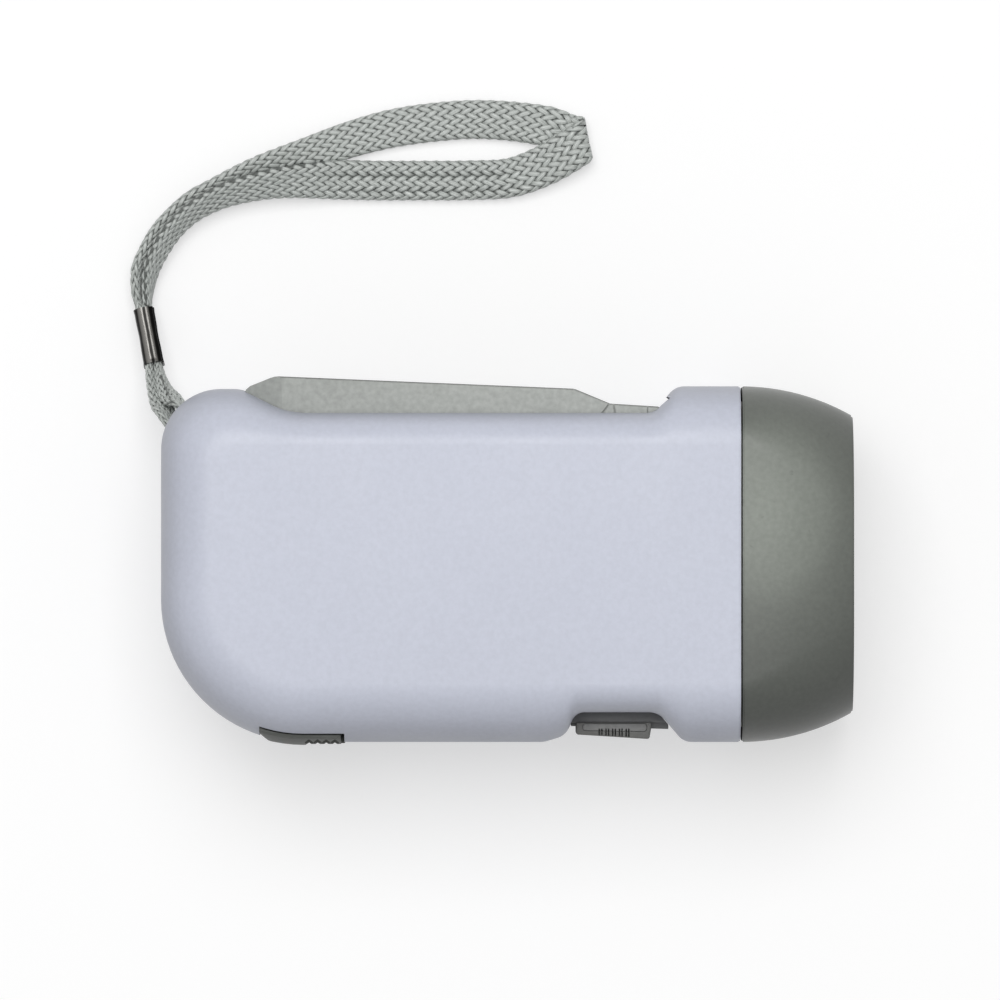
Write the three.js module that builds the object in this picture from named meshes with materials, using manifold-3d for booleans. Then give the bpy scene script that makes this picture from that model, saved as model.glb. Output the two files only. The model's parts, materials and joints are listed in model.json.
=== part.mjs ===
// Hand crank flashlight. A squeeze lever drives a gear train and a small generator, which lights three LEDs.
// Millimetres. The flashlight lies on its broad side at z = 0, +X points out of the lens and +Y to the lever.
// The origin is under the middle of its length and width.
import * as THREE from 'three';
import * as BufferGeometryUtils from 'three/addons/utils/BufferGeometryUtils.js';
import Module from 'manifold-3d';

const wasm = await Module();
wasm.setup();

// Case
const caseLength = 105;
const caseWidth = 54;
const caseHeight = 38;
const wall = 2;
const fitGap = 0.3;
const overrun = 6;
const edgeInset = 9;
const tailInset = 8;
const edgeDropShare = 1.444;
const flatTailRadius = 3.5;
const lipHeight = 1.2;
const lipThickness = 0.8;
const arcStepDegrees = 15;
const edgeSteps = 4;
const longestEdge = 9;

// Outline of the case, seen on its broad side
const gripDrop = 4.05;
const humpDrop = 0.4;
const humpReach = 12.3;
const humpSlope = 7;
const humpRadius = 5;
const humpFootRadius = 12;
const tailCornerRadius = 9.1;
const bellyCornerRadius = 21.6;
const collarReach = 9.9;
const shoulderSlope = 3.3;
const shoulderRadius = 2.6;
const shoulderFootRadius = 2.6;
const pocketDepth = 4.6;
const pocketReach = 8.7;
const pocketFrontSlope = 3.9;
const pocketLength = 12.5;
const pocketStep = 1.5;
const pocketLipDrop = 1;
const pocketLipReach = 3.3;
const pocketTopRadius = 2.7;
const pocketFootRadius = 3.2;
const pocketRearRadius = 2;
const pocketStepRadius = 2.9;
const pocketLipRadius = 4;

// Head
const headLength = 17;
const headWidthDrop = 4.5;
const headHeightDrop = 3;
const frontCornerWidth = 16;
const spigotLength = 3.5;
const spigotThickness = 1.5;
const baseLength = 2;
const lensThickness = 1.5;
const lensRecess = 0.6;
const rimWidth = 2.2;
const ledgeWidth = 1.8;
const ledgeThickness = 0.9;
const headShares = [0, 0.16, 0.34, 0.52, 0.7, 0.86, 1];
const cornerSteps = 5;

// Lamp
const cupRadius = 6.4;
const cupThroat = 2.8;
const cupDepth = 9.6;
const cupWall = 0.8;
const cupShares = [0, 0.25, 0.6, 1];
const cupSides = 16;
const reflectorThickness = 1.2;
const upperCupRise = 5.2;
const lowerCupDrop = 4.8;
const lowerCupSpread = 8.6;
const postRadius = 1.5;
const postSpread = 13;
const postRise = 6;
const ledRadius = 2.5;
const ledFlange = 2.9;
const ledFlangeThickness = 1;
const ledLength = 8;
const ledBoardWidth = 30;
const ledBoardHeight = 22;
const boardThickness = 1.4;

// Squeeze lever, in distances back from its pin and above it
const pinSetback = 11;
const pinDepth = 9;
const pinRadius = 1.5;
const pinBossRadius = 3.2;
const hubRadius = 4.2;
const leverWidth = 24;
const leverWall = 2;
const leverSideGap = 0.4;
const leverTailGap = 12.5;
const leverTipRise = 8.6;
const leverTipLength = 4.8;
const leverCrestRise = 10.5;
const leverHeelRun = 14.3;
const leverHeelRise = 8.6;
const leverNeckRun = 8.9;
const leverNeckRise = 6.35;
const leverRootRun = 1.6;
const leverRootRise = 5.9;
const leverBackRun = 2;
const leverBackRise = 3.5;
const leverSkirtDrop = 4.5;
const leverTipRadius = 1;
const leverCrestRadius = 3;
const leverHeelRadius = 1.4;
const channelEndRun = 5.5;
const slotTailGap = 0.5;
const slotSweepSteps = 7;
const noseWayDepth = 0.7;
const slotDepth = 4;
const springWindow = 12;
const springWindowRadius = 4.9;
const catchStem = 2;
const catchNose = 1.7;
const catchOvershoot = 0.2;
const catchSetback = 1.5;
const catchDrop = 10;
const catchThickness = 1.8;
const leverOpenDegrees = 28;

// Gear train
const sectorThickness = 4;
const driveModule = 0.8;
const secondModule = 0.6;
const rotorModule = 0.5;
const sectorTeeth = 90;
const pinionTeeth = 12;
const driveTeeth = 32;
const smallTeeth = 10;
const straightTeeth = 20;
const secondTeeth = 36;
const pressureDegrees = 25;
const addendumShare = 0.8;
const dedendumShare = 1.05;
const toothPlay = 0.1;
const meshDegrees = 14;
const secondBearingDegrees = 230;
const rotorBearingDegrees = 200;
const sectorBandWidth = 4.6;
const sectorTopDegrees = 13;
const sectorEndDegrees = 2;
const braceWidth = 4;
const braceFootDegrees = 40;
const braceTopRun = 14;
const braceTopRise = 4.3;
const ribThickness = 1.6;
const ribLength = 9;
const ribRun = 39;
const rivetRadius = 1.2;
const rivetDegrees = 7.2;
const rivetHeadRadius = 2.2;
const rivetHeadThickness = 0.8;
const layerGap = 2;
const driveThickness = 3;
const stepGap = 1;
const secondThickness = 2.5;
const bossGap = 0.8;
const axleRadius = 1;
const axleBossRadius = 2.2;
const boreGap = 0.3;
const seatGap = 0.3;
const hubWall = 1.1;
const ratchetHeight = 1.3;
const ratchetRadius = 5;
const runOver = 0.4;

// Generator
const flywheelRadius = 9.4;
const flywheelThickness = 3;
const flywheelLift = 1.5;
const magnetRadius = 7;
const magnetHeight = 8;
const airGap = 0.6;
const poleThickness = 2.2;
const poleHalfWidth = 4.5;
const laminationHeight = 5.5;
const legWidth = 3;
const yokeSpan = 15.5;
const yokeWidth = 3;
const statorPostSetback = 4.2;
const coilLength = 8.2;
const bobbinWall = 0.8;
const flangeThickness = 0.9;
const coilBuild = 2.6;
const coilOffset = 2;
const ceilingPostRadius = 2;
const turnsRound = 8;

// Circuit
const mainBoardLength = 20;
const mainBoardWidth = 12;
const mainBoardHeadGap = 11;
const mainBoardSideGap = 7;
const boardPostRadius = 1.5;
const boardPostInset = 2.5;
const rectifierLength = 6;
const rectifierWidth = 4;
const rectifierHeight = 2.2;
const cellRadius = 10;
const cellHeight = 3.2;
const cellRimRadius = 8.6;
const cellStep = 0.4;
const cellSetback = 21.5;
const cellOffset = 4.5;
const cellLift = 0.8;
const cellPostRadius = 1.2;
const tabWidth = 4;
const tabThickness = 0.3;
const tabOverBoard = 0.5;
const wireRadius = 0.5;
const wireSteps = 10;
const wireSpacing = 1;
const coilLeadSag = 1.5;
const coilLeadRise = 2;
const cellLeadSlack = 1;
const ledLeadRise = 5.5;
const ledLeadSpread = 1;

// Slide switch
const switchBodyLength = 12;
const switchBodyHeight = 6.6;
const switchBodyDepth = 4.4;
const switchRecess = 2;
const switchCentreSetback = 19;
const buttonLength = 11.2;
const buttonHeight = 14;
const buttonDepth = 2.5;
const buttonTopDepth = 1.5;
const buttonTaper = 0.7;
const buttonTravel = 2.2;
const buttonSetback = 19.25;
const buttonStandoff = 1.8;
const ridgeCount = 5;
const ridgePitch = 1.02;
const ridgeWidth = 0.5;
const ridgeDepth = 0.4;
const ridgeInset = 3;
const stemLength = 2;
const stemHeight = 2.4;
const stemReach = 1.6;
const railLength = 13.4;
const railHeight = 10;
const railDepth = 1;
const railFootLength = 9.6;
const railSetback = 18.4;

// Latch
const latchSetback = 14.1;
const latchLength = 12.9;
const latchWidth = 24.6;
const latchProud = 0.45;
const latchThickness = 2.4;
const latchLeftGap = 0.4;
const latchRightGap = 0.6;
const latchPivotSetback = 14.5;
const latchPivotRise = 6.5;
const latchPinRadius = 1.2;
const latchPinLength = 18;
const latchHubRadius = 2.5;
const latchArmWidth = 2;
const latchArmHeight = 4;
const latchArmSetback = 6;
const latchElbowSetback = 8.6;
const latchElbowRise = 11.6;
const latchArmRise = 18.6;
const hookGap = 0.35;
const hookThickness = 1.8;
const latchRidgeCount = 4;
const latchRidgePitch = 1.3;
const latchRidgeDepth = 0.5;
const latchSpringRadius = 1.6;
const latchSpringWire = 0.35;
const latchSpringTurns = 4;
const latchSpringLength = 4.2;
const latchSpringSetback = 22.5;

// Return spring
const springRadius = 3;
const springWireRadius = 0.5;
const springTurns = 4;
const springHeight = 7;
const springLegLength = 9;
const springSidesPerTurn = 9;
const springSides = 6;

// Screws
const screwRadius = 1.15;
const screwHeadRadius = 2.3;
const screwHeadHeight = 1.6;
const screwLength = 18;
const screwSeat = 8;
const postWall = 1;
const slotWidth = 0.7;
const slotDeep = 0.8;
const tailScrewSetback = 7;
const tailScrewInset = 10.2;
const bellyScrewSetback = 39;
const bellyScrewInset = 7.5;
const headScrewInset = 9;
const leverScrewInset = 17;

// Wrist strap
const strapThickness = 1.2;
const strapBunchWidth = 3.2;
const strapSteps = 80;
const strapBarRadius = 0.7;
const strapBarInset = 1.2;
const strapBarDegrees = 144;
const strapHoleWidth = 6;
const strapHoleHeight = 5.2;
const strapHoleTop = 1;
const ferruleRows = [5, 7];
const ferruleTwinRows = [40, 38];
const ferruleWidth = 4;
const ferruleHeight = 4.6;
const ferruleWall = 0.35;
const ferruleCorner = 1;
const smoothSides = 22;
const plainSides = 11;
const cellPostDegrees = [45, 135, 250, 320];
const domeShares = [0.4, 0.8, 1];
const bandTopPieces = 4;
const bandPieces = 8;

// Route of the strap's centre line: out of the tail corner, down to the table, round the loop and back
const strapRoute = [
  [-48.7, 20.2, 15.9], [-50.1, 19.7, 15.8], [-51.6, 20.9, 15.4], [-52.8, 23.3, 12.2], [-53.9, 26.5, 8],
  [-54.7, 30.4, 4.7], [-55.3, 34.3, 3.65], [-55.9, 38.2, 2.6], [-56.9, 43, 2], [-56.4, 47.5, 1.8],
  [-54.7, 51.4, 1.7], [-51.6, 55, 1.7], [-47.2, 57.7, 1.7], [-42.6, 59.5, 1.7], [-36.4, 61.6, 1.7],
  [-31.5, 63.2, 1.7], [-25.4, 64.6, 1.7], [-17.2, 66.4, 1.7], [-10.4, 67.4, 1.7], [-5, 67.7, 1.7], [1.2, 67.3, 1.7],
  [6, 66.6, 1.7], [9.6, 65.2, 1.7], [10.7, 63, 1.7], [9.6, 61.4, 1.7], [7.1, 60.6, 1.7],
  [0.8, 58.9, 1.7], [-5.5, 58.5, 1.7], [-13.2, 58.4, 1.7], [-20.1, 58.4, 1.7], [-25.4, 58.5, 1.7],
  [-31.5, 58.2, 1.7], [-36.4, 57.7, 1.7], [-41.9, 56.5, 1.7], [-45.7, 54.7, 1.7], [-49.2, 51.9, 1.7],
  [-52.1, 48.7, 1.7], [-53.9, 44.8, 1.9], [-54.4, 38.4, 2.6], [-53.8, 34.5, 3.65], [-53.2, 30.6, 4.7],
  [-52.5, 27.4, 8], [-51.1, 25.2, 12.4], [-49.6, 23.9, 15.4], [-47.6, 22.7, 15.8], [-47.5, 21.4, 15.9],
];

const tailX = -caseLength / 2;
const frontX = caseLength / 2;
const seamX = frontX - headLength;
const sideY = caseWidth / 2;
const midZ = caseHeight / 2;
const flatY = sideY - edgeInset;
const pinX = seamX - pinSetback;
const pinY = sideY - pinDepth;
const leverReach = pinX - tailX - leverTailGap;
const leverCrestRun = leverReach - leverTipLength;
const catchRun = leverReach - catchSetback;
const leverLow = midZ - leverWidth / 2;
const leverHigh = midZ + leverWidth / 2;
const boxFar = caseLength;

const sectorPitch = driveModule * sectorTeeth / 2;
const sectorRoot = sectorPitch - driveModule * dedendumShare;
const sectorInner = sectorRoot - sectorBandWidth;
const sectorLow = midZ - sectorThickness / 2;
const sectorHigh = midZ + sectorThickness / 2;
const driveHigh = sectorLow - layerGap;
const driveLow = driveHigh - driveThickness;
const secondHigh = driveLow - stepGap;
const secondLow = secondHigh - secondThickness;
const lowerBossTop = secondLow - bossGap;
const flywheelLow = driveHigh + flywheelLift;
const magnetLow = flywheelLow + flywheelThickness + seatGap;
const magnetHigh = magnetLow + magnetHeight;
const statorLow = sectorHigh + runOver + fitGap;
const statorHigh = statorLow + laminationHeight;
const rad = THREE.MathUtils.degToRad;

const driveCentre = fromPoint([pinX, pinY], driveModule * (sectorTeeth + pinionTeeth) / 2, 180 + meshDegrees);
const secondCentre = fromPoint(driveCentre, secondModule * (driveTeeth + smallTeeth) / 2, secondBearingDegrees);
const rotorCentre = fromPoint(secondCentre, rotorModule * (secondTeeth + smallTeeth) / 2, rotorBearingDegrees);
const trainCentres = [driveCentre, secondCentre, rotorCentre];
const latchPivot = [tailX + latchPivotSetback, -sideY + latchPivotRise];
const cellCentre = [seamX - cellSetback, cellOffset];
const boardHigh = midZ - switchBodyHeight / 2 - fitGap;
const boardLow = boardHigh - boardThickness;
const boardX1 = seamX - mainBoardHeadGap;
const boardX0 = boardX1 - mainBoardLength;
const boardY0 = -sideY + mainBoardSideGap;
const boardY1 = boardY0 + mainBoardWidth;
const screwX = seamX - spigotLength - screwHeadRadius - postWall - fitGap;
const screwPlaces = [
  [tailX + tailScrewSetback, sideY - tailScrewInset],
  [tailX + bellyScrewSetback, -sideY + bellyScrewInset],
  [screwX, -sideY + headScrewInset],
  [screwX, sideY - leverScrewInset],
];

const paleShell = look(0xc8cddb, 0.42, 0);
const greyRubber = look(0x8a8f89, 0.5, 0);
const darkGrey = look(0x55585a, 0.6, 0);
const white = look(0xf0efe8, 0.4, 0);
const steel = look(0xb9bcc0, 0.3, 1);
const mirror = look(0xe8eaec, 0.08, 1);
const clear = look(0xf4f8fa, 0.05, 0);
const boardGreen = look(0x2f6b45, 0.5, 0);
const copper = look(0xb8683a, 0.35, 1);
const ferrite = look(0x3a3b3e, 0.5, 0);
const webbing = look(0x9ea29e, 0.85, 0);
const nickel = look(0x6d6a66, 0.25, 1);
const wireRed = look(0xa83232, 0.5, 0);

const flashlight = new THREE.Group();

function look(color, roughness, metalness) {
  return new THREE.MeshStandardMaterial({ color, roughness, metalness });
}

function fromPoint([x, y], distance, degrees) {
  return [x + distance * Math.cos(rad(degrees)), y + distance * Math.sin(rad(degrees))];
}

// Solids from three.js geometry

function toSolid(geometry) {
  const bare = new THREE.BufferGeometry();
  bare.setAttribute('position', geometry.getAttribute('position').clone());
  if (geometry.index) bare.setIndex(geometry.index.clone());
  const merged = BufferGeometryUtils.mergeVertices(bare);
  const position = merged.getAttribute('position');
  const triVerts = [];
  let volume = 0;
  const [a, b, c] = [new THREE.Vector3(), new THREE.Vector3(), new THREE.Vector3()];
  for (let i = 0; i < merged.index.count; i += 3) {
    const [p, q, r] = [0, 1, 2].map((k) => merged.index.getX(i + k));
    if (p === q || q === r || r === p) continue;
    triVerts.push(p, q, r);
    a.fromBufferAttribute(position, p);
    b.fromBufferAttribute(position, q);
    c.fromBufferAttribute(position, r);
    volume += a.dot(b.cross(c));
  }
  if (volume < 0) triVerts.reverse();
  const vertProperties = new Float32Array(position.array);
  return new wasm.Manifold(new wasm.Mesh({ numProp: 3, vertProperties, triVerts: new Uint32Array(triVerts) }));
}

function part(name, solid, material) {
  const data = solid.getMesh();
  const geometry = new THREE.BufferGeometry();
  geometry.setAttribute('position', new THREE.BufferAttribute(new Float32Array(data.vertProperties), 3));
  geometry.setIndex(new THREE.BufferAttribute(new Uint32Array(data.triVerts), 1));
  geometry.computeVertexNormals();
  const mesh = new THREE.Mesh(geometry, material);
  mesh.name = name;
  flashlight.add(mesh);
}

function block(x0, x1, y0, y1, z0, z1) {
  const geometry = new THREE.BoxGeometry(x1 - x0, y1 - y0, z1 - z0);
  return toSolid(geometry.translate((x0 + x1) / 2, (y0 + y1) / 2, (z0 + z1) / 2));
}

function rodZ(radius, [x, y], z0, z1, sides = plainSides) {
  const geometry = new THREE.CylinderGeometry(radius, radius, z1 - z0, sides).rotateX(Math.PI / 2);
  return toSolid(geometry.translate(x, y, (z0 + z1) / 2));
}

function rodX(radius, x0, x1, y, z, sides = plainSides) {
  const geometry = new THREE.CylinderGeometry(radius, radius, x1 - x0, sides).rotateZ(Math.PI / 2);
  return toSolid(geometry.translate((x0 + x1) / 2, y, z));
}

function ringZ(outer, inner, centre, z0, z1, sides = smoothSides) {
  const hole = rodZ(inner, centre, z0 - overrun, z1 + overrun, plainSides);
  return rodZ(outer, centre, z0, z1, sides).subtract(hole);
}

function slab(points, z0, z1) {
  const shape = new THREE.Shape(points.map(([x, y]) => new THREE.Vector2(x, y)));
  const geometry = new THREE.ExtrudeGeometry(shape, { depth: z1 - z0, bevelEnabled: false });
  return toSolid(geometry.translate(0, 0, z0));
}

// A profile of [along, radius] points turned about a line parallel to X.
function turnedX(profile, y, z, sides) {
  const points = profile.map(([along, radius]) => new THREE.Vector2(radius, along));
  const geometry = new THREE.LatheGeometry(points, sides).rotateZ(-Math.PI / 2);
  return toSolid(geometry.translate(0, y, z));
}

function tube(curve, radius, steps, sides) {
  const section = new THREE.Shape();
  section.absarc(0, 0, radius, 0, Math.PI * 2, false);
  const options = { steps, bevelEnabled: false, extrudePath: curve, curveSegments: sides / 2 };
  return toSolid(new THREE.ExtrudeGeometry(section, options));
}

function unite(...solids) {
  return solids.reduce((sum, next) => sum.add(next));
}

// A closed skin through rings that hold the same number of points, with a fan of faces on each convex end.
function loft(rings) {
  const count = rings[0].length;
  const positions = rings.flat(2);
  const index = [];
  for (let ring = 0; ring + 1 < rings.length; ring += 1) {
    for (let i = 0; i < count; i += 1) {
      const j = (i + 1) % count;
      const low = ring * count;
      const high = low + count;
      index.push(low + i, low + j, high + j, low + i, high + j, high + i);
    }
  }
  const last = (rings.length - 1) * count;
  for (const [start, flip] of [[0, true], [last, false]]) {
    const ring = rings[start / count];
    const middle = positions.length / 3;
    positions.push(...[0, 1, 2].map((axis) => ring.reduce((sum, point) => sum + point[axis], 0) / count));
    for (let i = 0; i < count; i += 1) {
      const j = (i + 1) % count;
      index.push(middle, start + (flip ? j : i), start + (flip ? i : j));
    }
  }
  const geometry = new THREE.BufferGeometry();
  geometry.setAttribute('position', new THREE.Float32BufferAttribute(positions, 3));
  geometry.setIndex(index);
  return toSolid(geometry);
}

// Outlines

// A polygon of [x, y, radius] corners, walked anticlockwise, with each corner rounded.
function roundedLoop(corners) {
  const loop = [];
  corners.forEach(([x, y, radius], i) => {
    const here = new THREE.Vector2(x, y);
    const before = corners[(i + corners.length - 1) % corners.length];
    const after = corners[(i + 1) % corners.length];
    const back = new THREE.Vector2(before[0], before[1]).sub(here).normalize();
    const ahead = new THREE.Vector2(after[0], after[1]).sub(here).normalize();
    if (!radius) {
      loop.push(here);
      return;
    }
    const half = Math.acos(THREE.MathUtils.clamp(back.dot(ahead), -1, 1)) / 2;
    const side = Math.sign(back.cross(ahead));
    const middle = back.clone().add(ahead).normalize().multiplyScalar(radius / Math.sin(half)).add(here);
    const start = here.clone().addScaledVector(back, radius / Math.tan(half)).sub(middle);
    const sweep = (Math.PI - 2 * half) * -side;
    const steps = Math.max(1, Math.round(Math.abs(sweep) / rad(arcStepDegrees)));
    for (let k = 0; k <= steps; k += 1) {
      loop.push(start.clone().rotateAround(new THREE.Vector2(), sweep * k / steps).add(middle));
    }
  });
  return loop;
}

function divideEdges(loop) {
  return loop.flatMap((point, i) => {
    const next = loop[(i + 1) % loop.length];
    const pieces = Math.max(1, Math.ceil(point.distanceTo(next) / longestEdge));
    return Array.from({ length: pieces }, (_, k) => point.clone().lerp(next, k / pieces));
  });
}

function pairs(loop) {
  return loop.map(({ x, y }) => [x, y]);
}

// Moves an anticlockwise loop inwards by a distance, or outwards when it is negative.
function inset(loop, distance) {
  return loop.map((point, i) => {
    const before = loop[(i + loop.length - 1) % loop.length];
    const after = loop[(i + 1) % loop.length];
    const first = point.clone().sub(before).normalize();
    const second = after.clone().sub(point).normalize();
    const normal = new THREE.Vector2(-first.y - second.y, first.x + second.x).normalize();
    const leanShare = normal.dot(new THREE.Vector2(-first.y, first.x));
    return point.clone().addScaledVector(normal, distance / leanShare);
  });
}

// Moves the corners of an anticlockwise polygon inwards, with outer corners rounded less and inner ones more.
function insetCorners(corners, distance) {
  const sharp = corners.map(([x, y]) => new THREE.Vector2(x, y));
  const moved = inset(sharp, distance);
  return corners.map(([, , radius], i) => {
    const before = sharp[(i + sharp.length - 1) % sharp.length];
    const after = sharp[(i + 1) % sharp.length];
    const bulges = sharp[i].clone().sub(before).cross(after.clone().sub(sharp[i])) > 0;
    return [moved[i].x, moved[i].y, Math.max(0, radius + (bulges ? -distance : distance))];
  });
}

function nearestOnLoop(point, loop) {
  let best = null;
  loop.forEach((start, i) => {
    const along = loop[(i + 1) % loop.length].clone().sub(start);
    const t = THREE.MathUtils.clamp(point.clone().sub(start).dot(along) / along.lengthSq(), 0, 1);
    const spot = start.clone().addScaledVector(along, t);
    if (!best || spot.distanceTo(point) < best.distanceTo(point)) best = spot;
  });
  return best;
}

function caseOutline() {
  const endX = seamX + edgeInset;
  const gripY = sideY - gripDrop;
  const humpY = sideY - humpDrop;
  const humpX = tailX + humpReach;
  const collarX = seamX - collarReach;
  const pocketY = -sideY + pocketDepth;
  const pocketX1 = seamX - pocketReach - pocketFrontSlope;
  const pocketX0 = pocketX1 - pocketLength;
  return roundedLoop([
    [tailX, -sideY, bellyCornerRadius],
    [pocketX0 - pocketStep - pocketLipReach, -sideY, pocketLipRadius],
    [pocketX0 - pocketStep, -sideY + pocketLipDrop, pocketStepRadius],
    [pocketX0, pocketY, pocketRearRadius],
    [pocketX1, pocketY, pocketFootRadius],
    [seamX - pocketReach, -sideY, pocketTopRadius],
    [endX, -sideY, 0],
    [endX, sideY, 0],
    [collarX, sideY, shoulderRadius],
    [collarX - shoulderSlope, gripY, shoulderFootRadius],
    [humpX + humpSlope, gripY, humpFootRadius],
    [humpX, humpY, humpRadius],
    [tailX, humpY, tailCornerRadius],
  ]);
}

function flatOutline() {
  const endX = seamX + edgeInset - wall;
  return roundedLoop([
    [tailX + tailInset, -flatY, bellyCornerRadius - tailInset],
    [endX, -flatY, 0],
    [endX, flatY, 0],
    [tailX + tailInset, flatY, flatTailRadius],
  ]);
}

// The case's rounded block, made smaller all round by a depth.
function caseBlock(depth) {
  const rim = divideEdges(caseOutline());
  const flat = rim.map((point) => nearestOnLoop(point, flatOutline()));
  const shifted = inset(rim, depth);
  const rings = [];
  for (let k = 0; k <= edgeSteps; k += 1) {
    const turn = Math.PI / 2 * k / edgeSteps;
    rings.push(rim.map((point, i) => {
      const drop = flat[i].distanceTo(point) * edgeDropShare;
      const spot = flat[i].clone().lerp(shifted[i], Math.sin(turn));
      return [spot.x, spot.y, caseHeight - depth - (drop - depth) * (1 - Math.cos(turn))];
    }));
  }
  const lower = rings.map((ring) => ring.map(([x, y, z]) => [x, y, caseHeight - z])).reverse();
  return loft([...rings, ...lower]);
}

// Head section: half width, half height and the size of its elliptical corners, less an inset.
function headSection(x, share, depth) {
  const curve = (drop) => {
    const radius = (headLength ** 2 + drop ** 2) / (2 * drop);
    return radius - Math.sqrt(radius ** 2 - (headLength * share) ** 2);
  };
  const halfWidth = sideY - curve(headWidthDrop);
  const halfHeight = midZ - curve(headHeightDrop);
  const cornerWidth = edgeInset + (frontCornerWidth - edgeInset) * share;
  const cornerHeight = edgeInset * edgeDropShare;
  const ring = [];
  for (let quarter = 0; quarter < 4; quarter += 1) {
    const signY = quarter === 0 || quarter === 3 ? 1 : -1;
    const signZ = quarter < 2 ? 1 : -1;
    for (let k = 0; k <= cornerSteps; k += 1) {
      const turn = Math.PI / 2 * (quarter + k / cornerSteps);
      const y = signY * (halfWidth - cornerWidth) + (cornerWidth - depth) * Math.cos(turn);
      const z = signZ * (halfHeight - cornerHeight) + (cornerHeight - depth) * Math.sin(turn);
      ring.push([x, y, midZ + z]);
    }
  }
  return ring;
}

function headBlock(x0, x1, depth) {
  const shareAt = (x) => Math.max(0, (x - seamX) / headLength);
  const inner = headShares.map((share) => seamX + share * headLength).filter((x) => x > x0 && x < x1);
  return loft([x0, ...inner, x1].map((x) => headSection(x, shareAt(x), depth)));
}

// Gears

// The right or left half of a tooth, as [radius, half angle] pairs from root to tip.
function toothFlank(teeth, module) {
  const pitch = module * teeth / 2;
  const base = pitch * Math.cos(rad(pressureDegrees));
  const root = pitch - module * dedendumShare;
  const tip = pitch + module * addendumShare;
  const involute = (angle) => Math.tan(angle) - angle;
  const atPitch = Math.PI / (2 * teeth) - toothPlay / (2 * pitch);
  const halfAngle = (radius) => atPitch + involute(rad(pressureDegrees))
    - involute(Math.acos(Math.min(1, base / Math.max(base, radius))));
  const start = Math.max(base, root);
  const foot = [[root, halfAngle(start)], [start, halfAngle(start)]];
  const middle = teeth > straightTeeth ? [] : [[pitch, halfAngle(pitch)]];
  return [...foot, ...middle, [tip, halfAngle(tip)]];
}

// Points of some teeth of a gear, the first tooth at a start angle in radians.
function toothPoints([x, y], teeth, module, start, first, last) {
  const flank = toothFlank(teeth, module).filter(([radius], i, all) => !i || radius > all[i - 1][0]);
  const points = [];
  for (let tooth = first; tooth <= last; tooth += 1) {
    const middle = start + tooth * 2 * Math.PI / teeth;
    const rising = flank.map(([radius, half]) => [radius, middle - half]);
    const falling = flank.map(([radius, half]) => [radius, middle + half]).reverse();
    points.push(...rising, ...falling);
  }
  return points.map(([radius, angle]) => [x + radius * Math.cos(angle), y + radius * Math.sin(angle)]);
}

function gear(centre, teeth, module, start, z0, z1) {
  return slab(toothPoints(centre, teeth, module, start, 0, teeth - 1), z0, z1);
}

// Start angle of a gear whose tooth gap faces the neighbour's tooth at a bearing, in radians.
function meshStart(bearing, neighbourStart, neighbourTeeth, teeth) {
  const pitchAngle = 2 * Math.PI / neighbourTeeth;
  const offset = neighbourStart - bearing - Math.round((neighbourStart - bearing) / pitchAngle) * pitchAngle;
  return bearing + Math.PI - offset * neighbourTeeth / teeth + Math.PI / teeth;
}

// Case halves

// The way of the lever: a straight slot, the sweep of its root, and the way of the nose at its tip.
function leverSlot() {
  const x0 = pinX - leverReach - slotTailGap;
  const z0 = leverLow - leverSideGap;
  const z1 = leverHigh + leverSideGap;
  const slot = block(x0, pinX - leverNeckRun, pinY - slotDepth, boxFar, z0, z1);
  const root = slab(leverOutline(-leverSideGap), z0, z1).translate([-pinX, -pinY, 0]);
  const sweep = Array.from({ length: slotSweepSteps + 1 }, (_, k) => {
    return root.rotate([0, 0, -leverOpenDegrees * k / slotSweepSteps]).translate([pinX, pinY, 0]);
  });
  const noseWay = block(x0 - noseWayDepth, x0 + overrun, pinY - catchDrop, boxFar, sectorLow - fitGap,
    sectorHigh + fitGap);
  return unite(slot, ...sweep, noseWay);
}

function latchWindow() {
  const x0 = tailX + latchSetback + latchRightGap + fitGap - latchLeftGap;
  const x1 = tailX + latchSetback + latchLength + latchRightGap * 2;
  const half = latchWidth / 2 + fitGap;
  return block(x0, x1, -boxFar, -sideY + latchThickness + wall, midZ - half, midZ + half);
}

function stemWindow(y0, y1) {
  const x0 = seamX - switchCentreSetback - stemLength / 2 - fitGap;
  const x1 = x0 + stemLength + buttonTravel + fitGap * 2;
  const half = stemHeight / 2 + fitGap;
  return block(x0, x1, y0, y1, midZ - half, midZ + half);
}

function strapBar() {
  const corner = [tailX + tailCornerRadius, sideY - humpDrop - tailCornerRadius];
  return fromPoint(corner, tailCornerRadius - strapBarInset, strapBarDegrees);
}

function strapHole() {
  const [x, y] = strapBar();
  const top = midZ - strapHoleTop;
  const hole = block(-strapHoleWidth / 2, strapHoleWidth / 2, -wall * 2, wall * 3, top - strapHoleHeight, top);
  return hole.rotate([0, 0, strapBarDegrees - 90]).translate([x, y, 0]);
}

function openings() {
  return unite(leverSlot(), latchWindow(), stemWindow(-boxFar / 2, -sideY + mainBoardSideGap), strapHole());
}

function screwBores() {
  return unite(...screwPlaces.map((place) => unite(
    rodZ(screwHeadRadius + fitGap, place, -overrun, screwSeat),
    rodZ(screwRadius + boreGap, place, 0, screwSeat + screwLength + fitGap),
  )));
}

function axleBores() {
  return unite(
    ...trainCentres.map((centre) => rodZ(axleRadius + boreGap, centre, wall, caseHeight - wall)),
    rodZ(pinRadius + boreGap, [pinX, pinY], wall, caseHeight - wall),
    rodZ(latchPinRadius + boreGap, latchPivot, midZ - latchPinLength / 2, midZ + latchPinLength / 2),
  );
}

function latchBossLevel(side) {
  return midZ + side * (latchArmHeight / 2 + fitGap);
}

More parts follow.
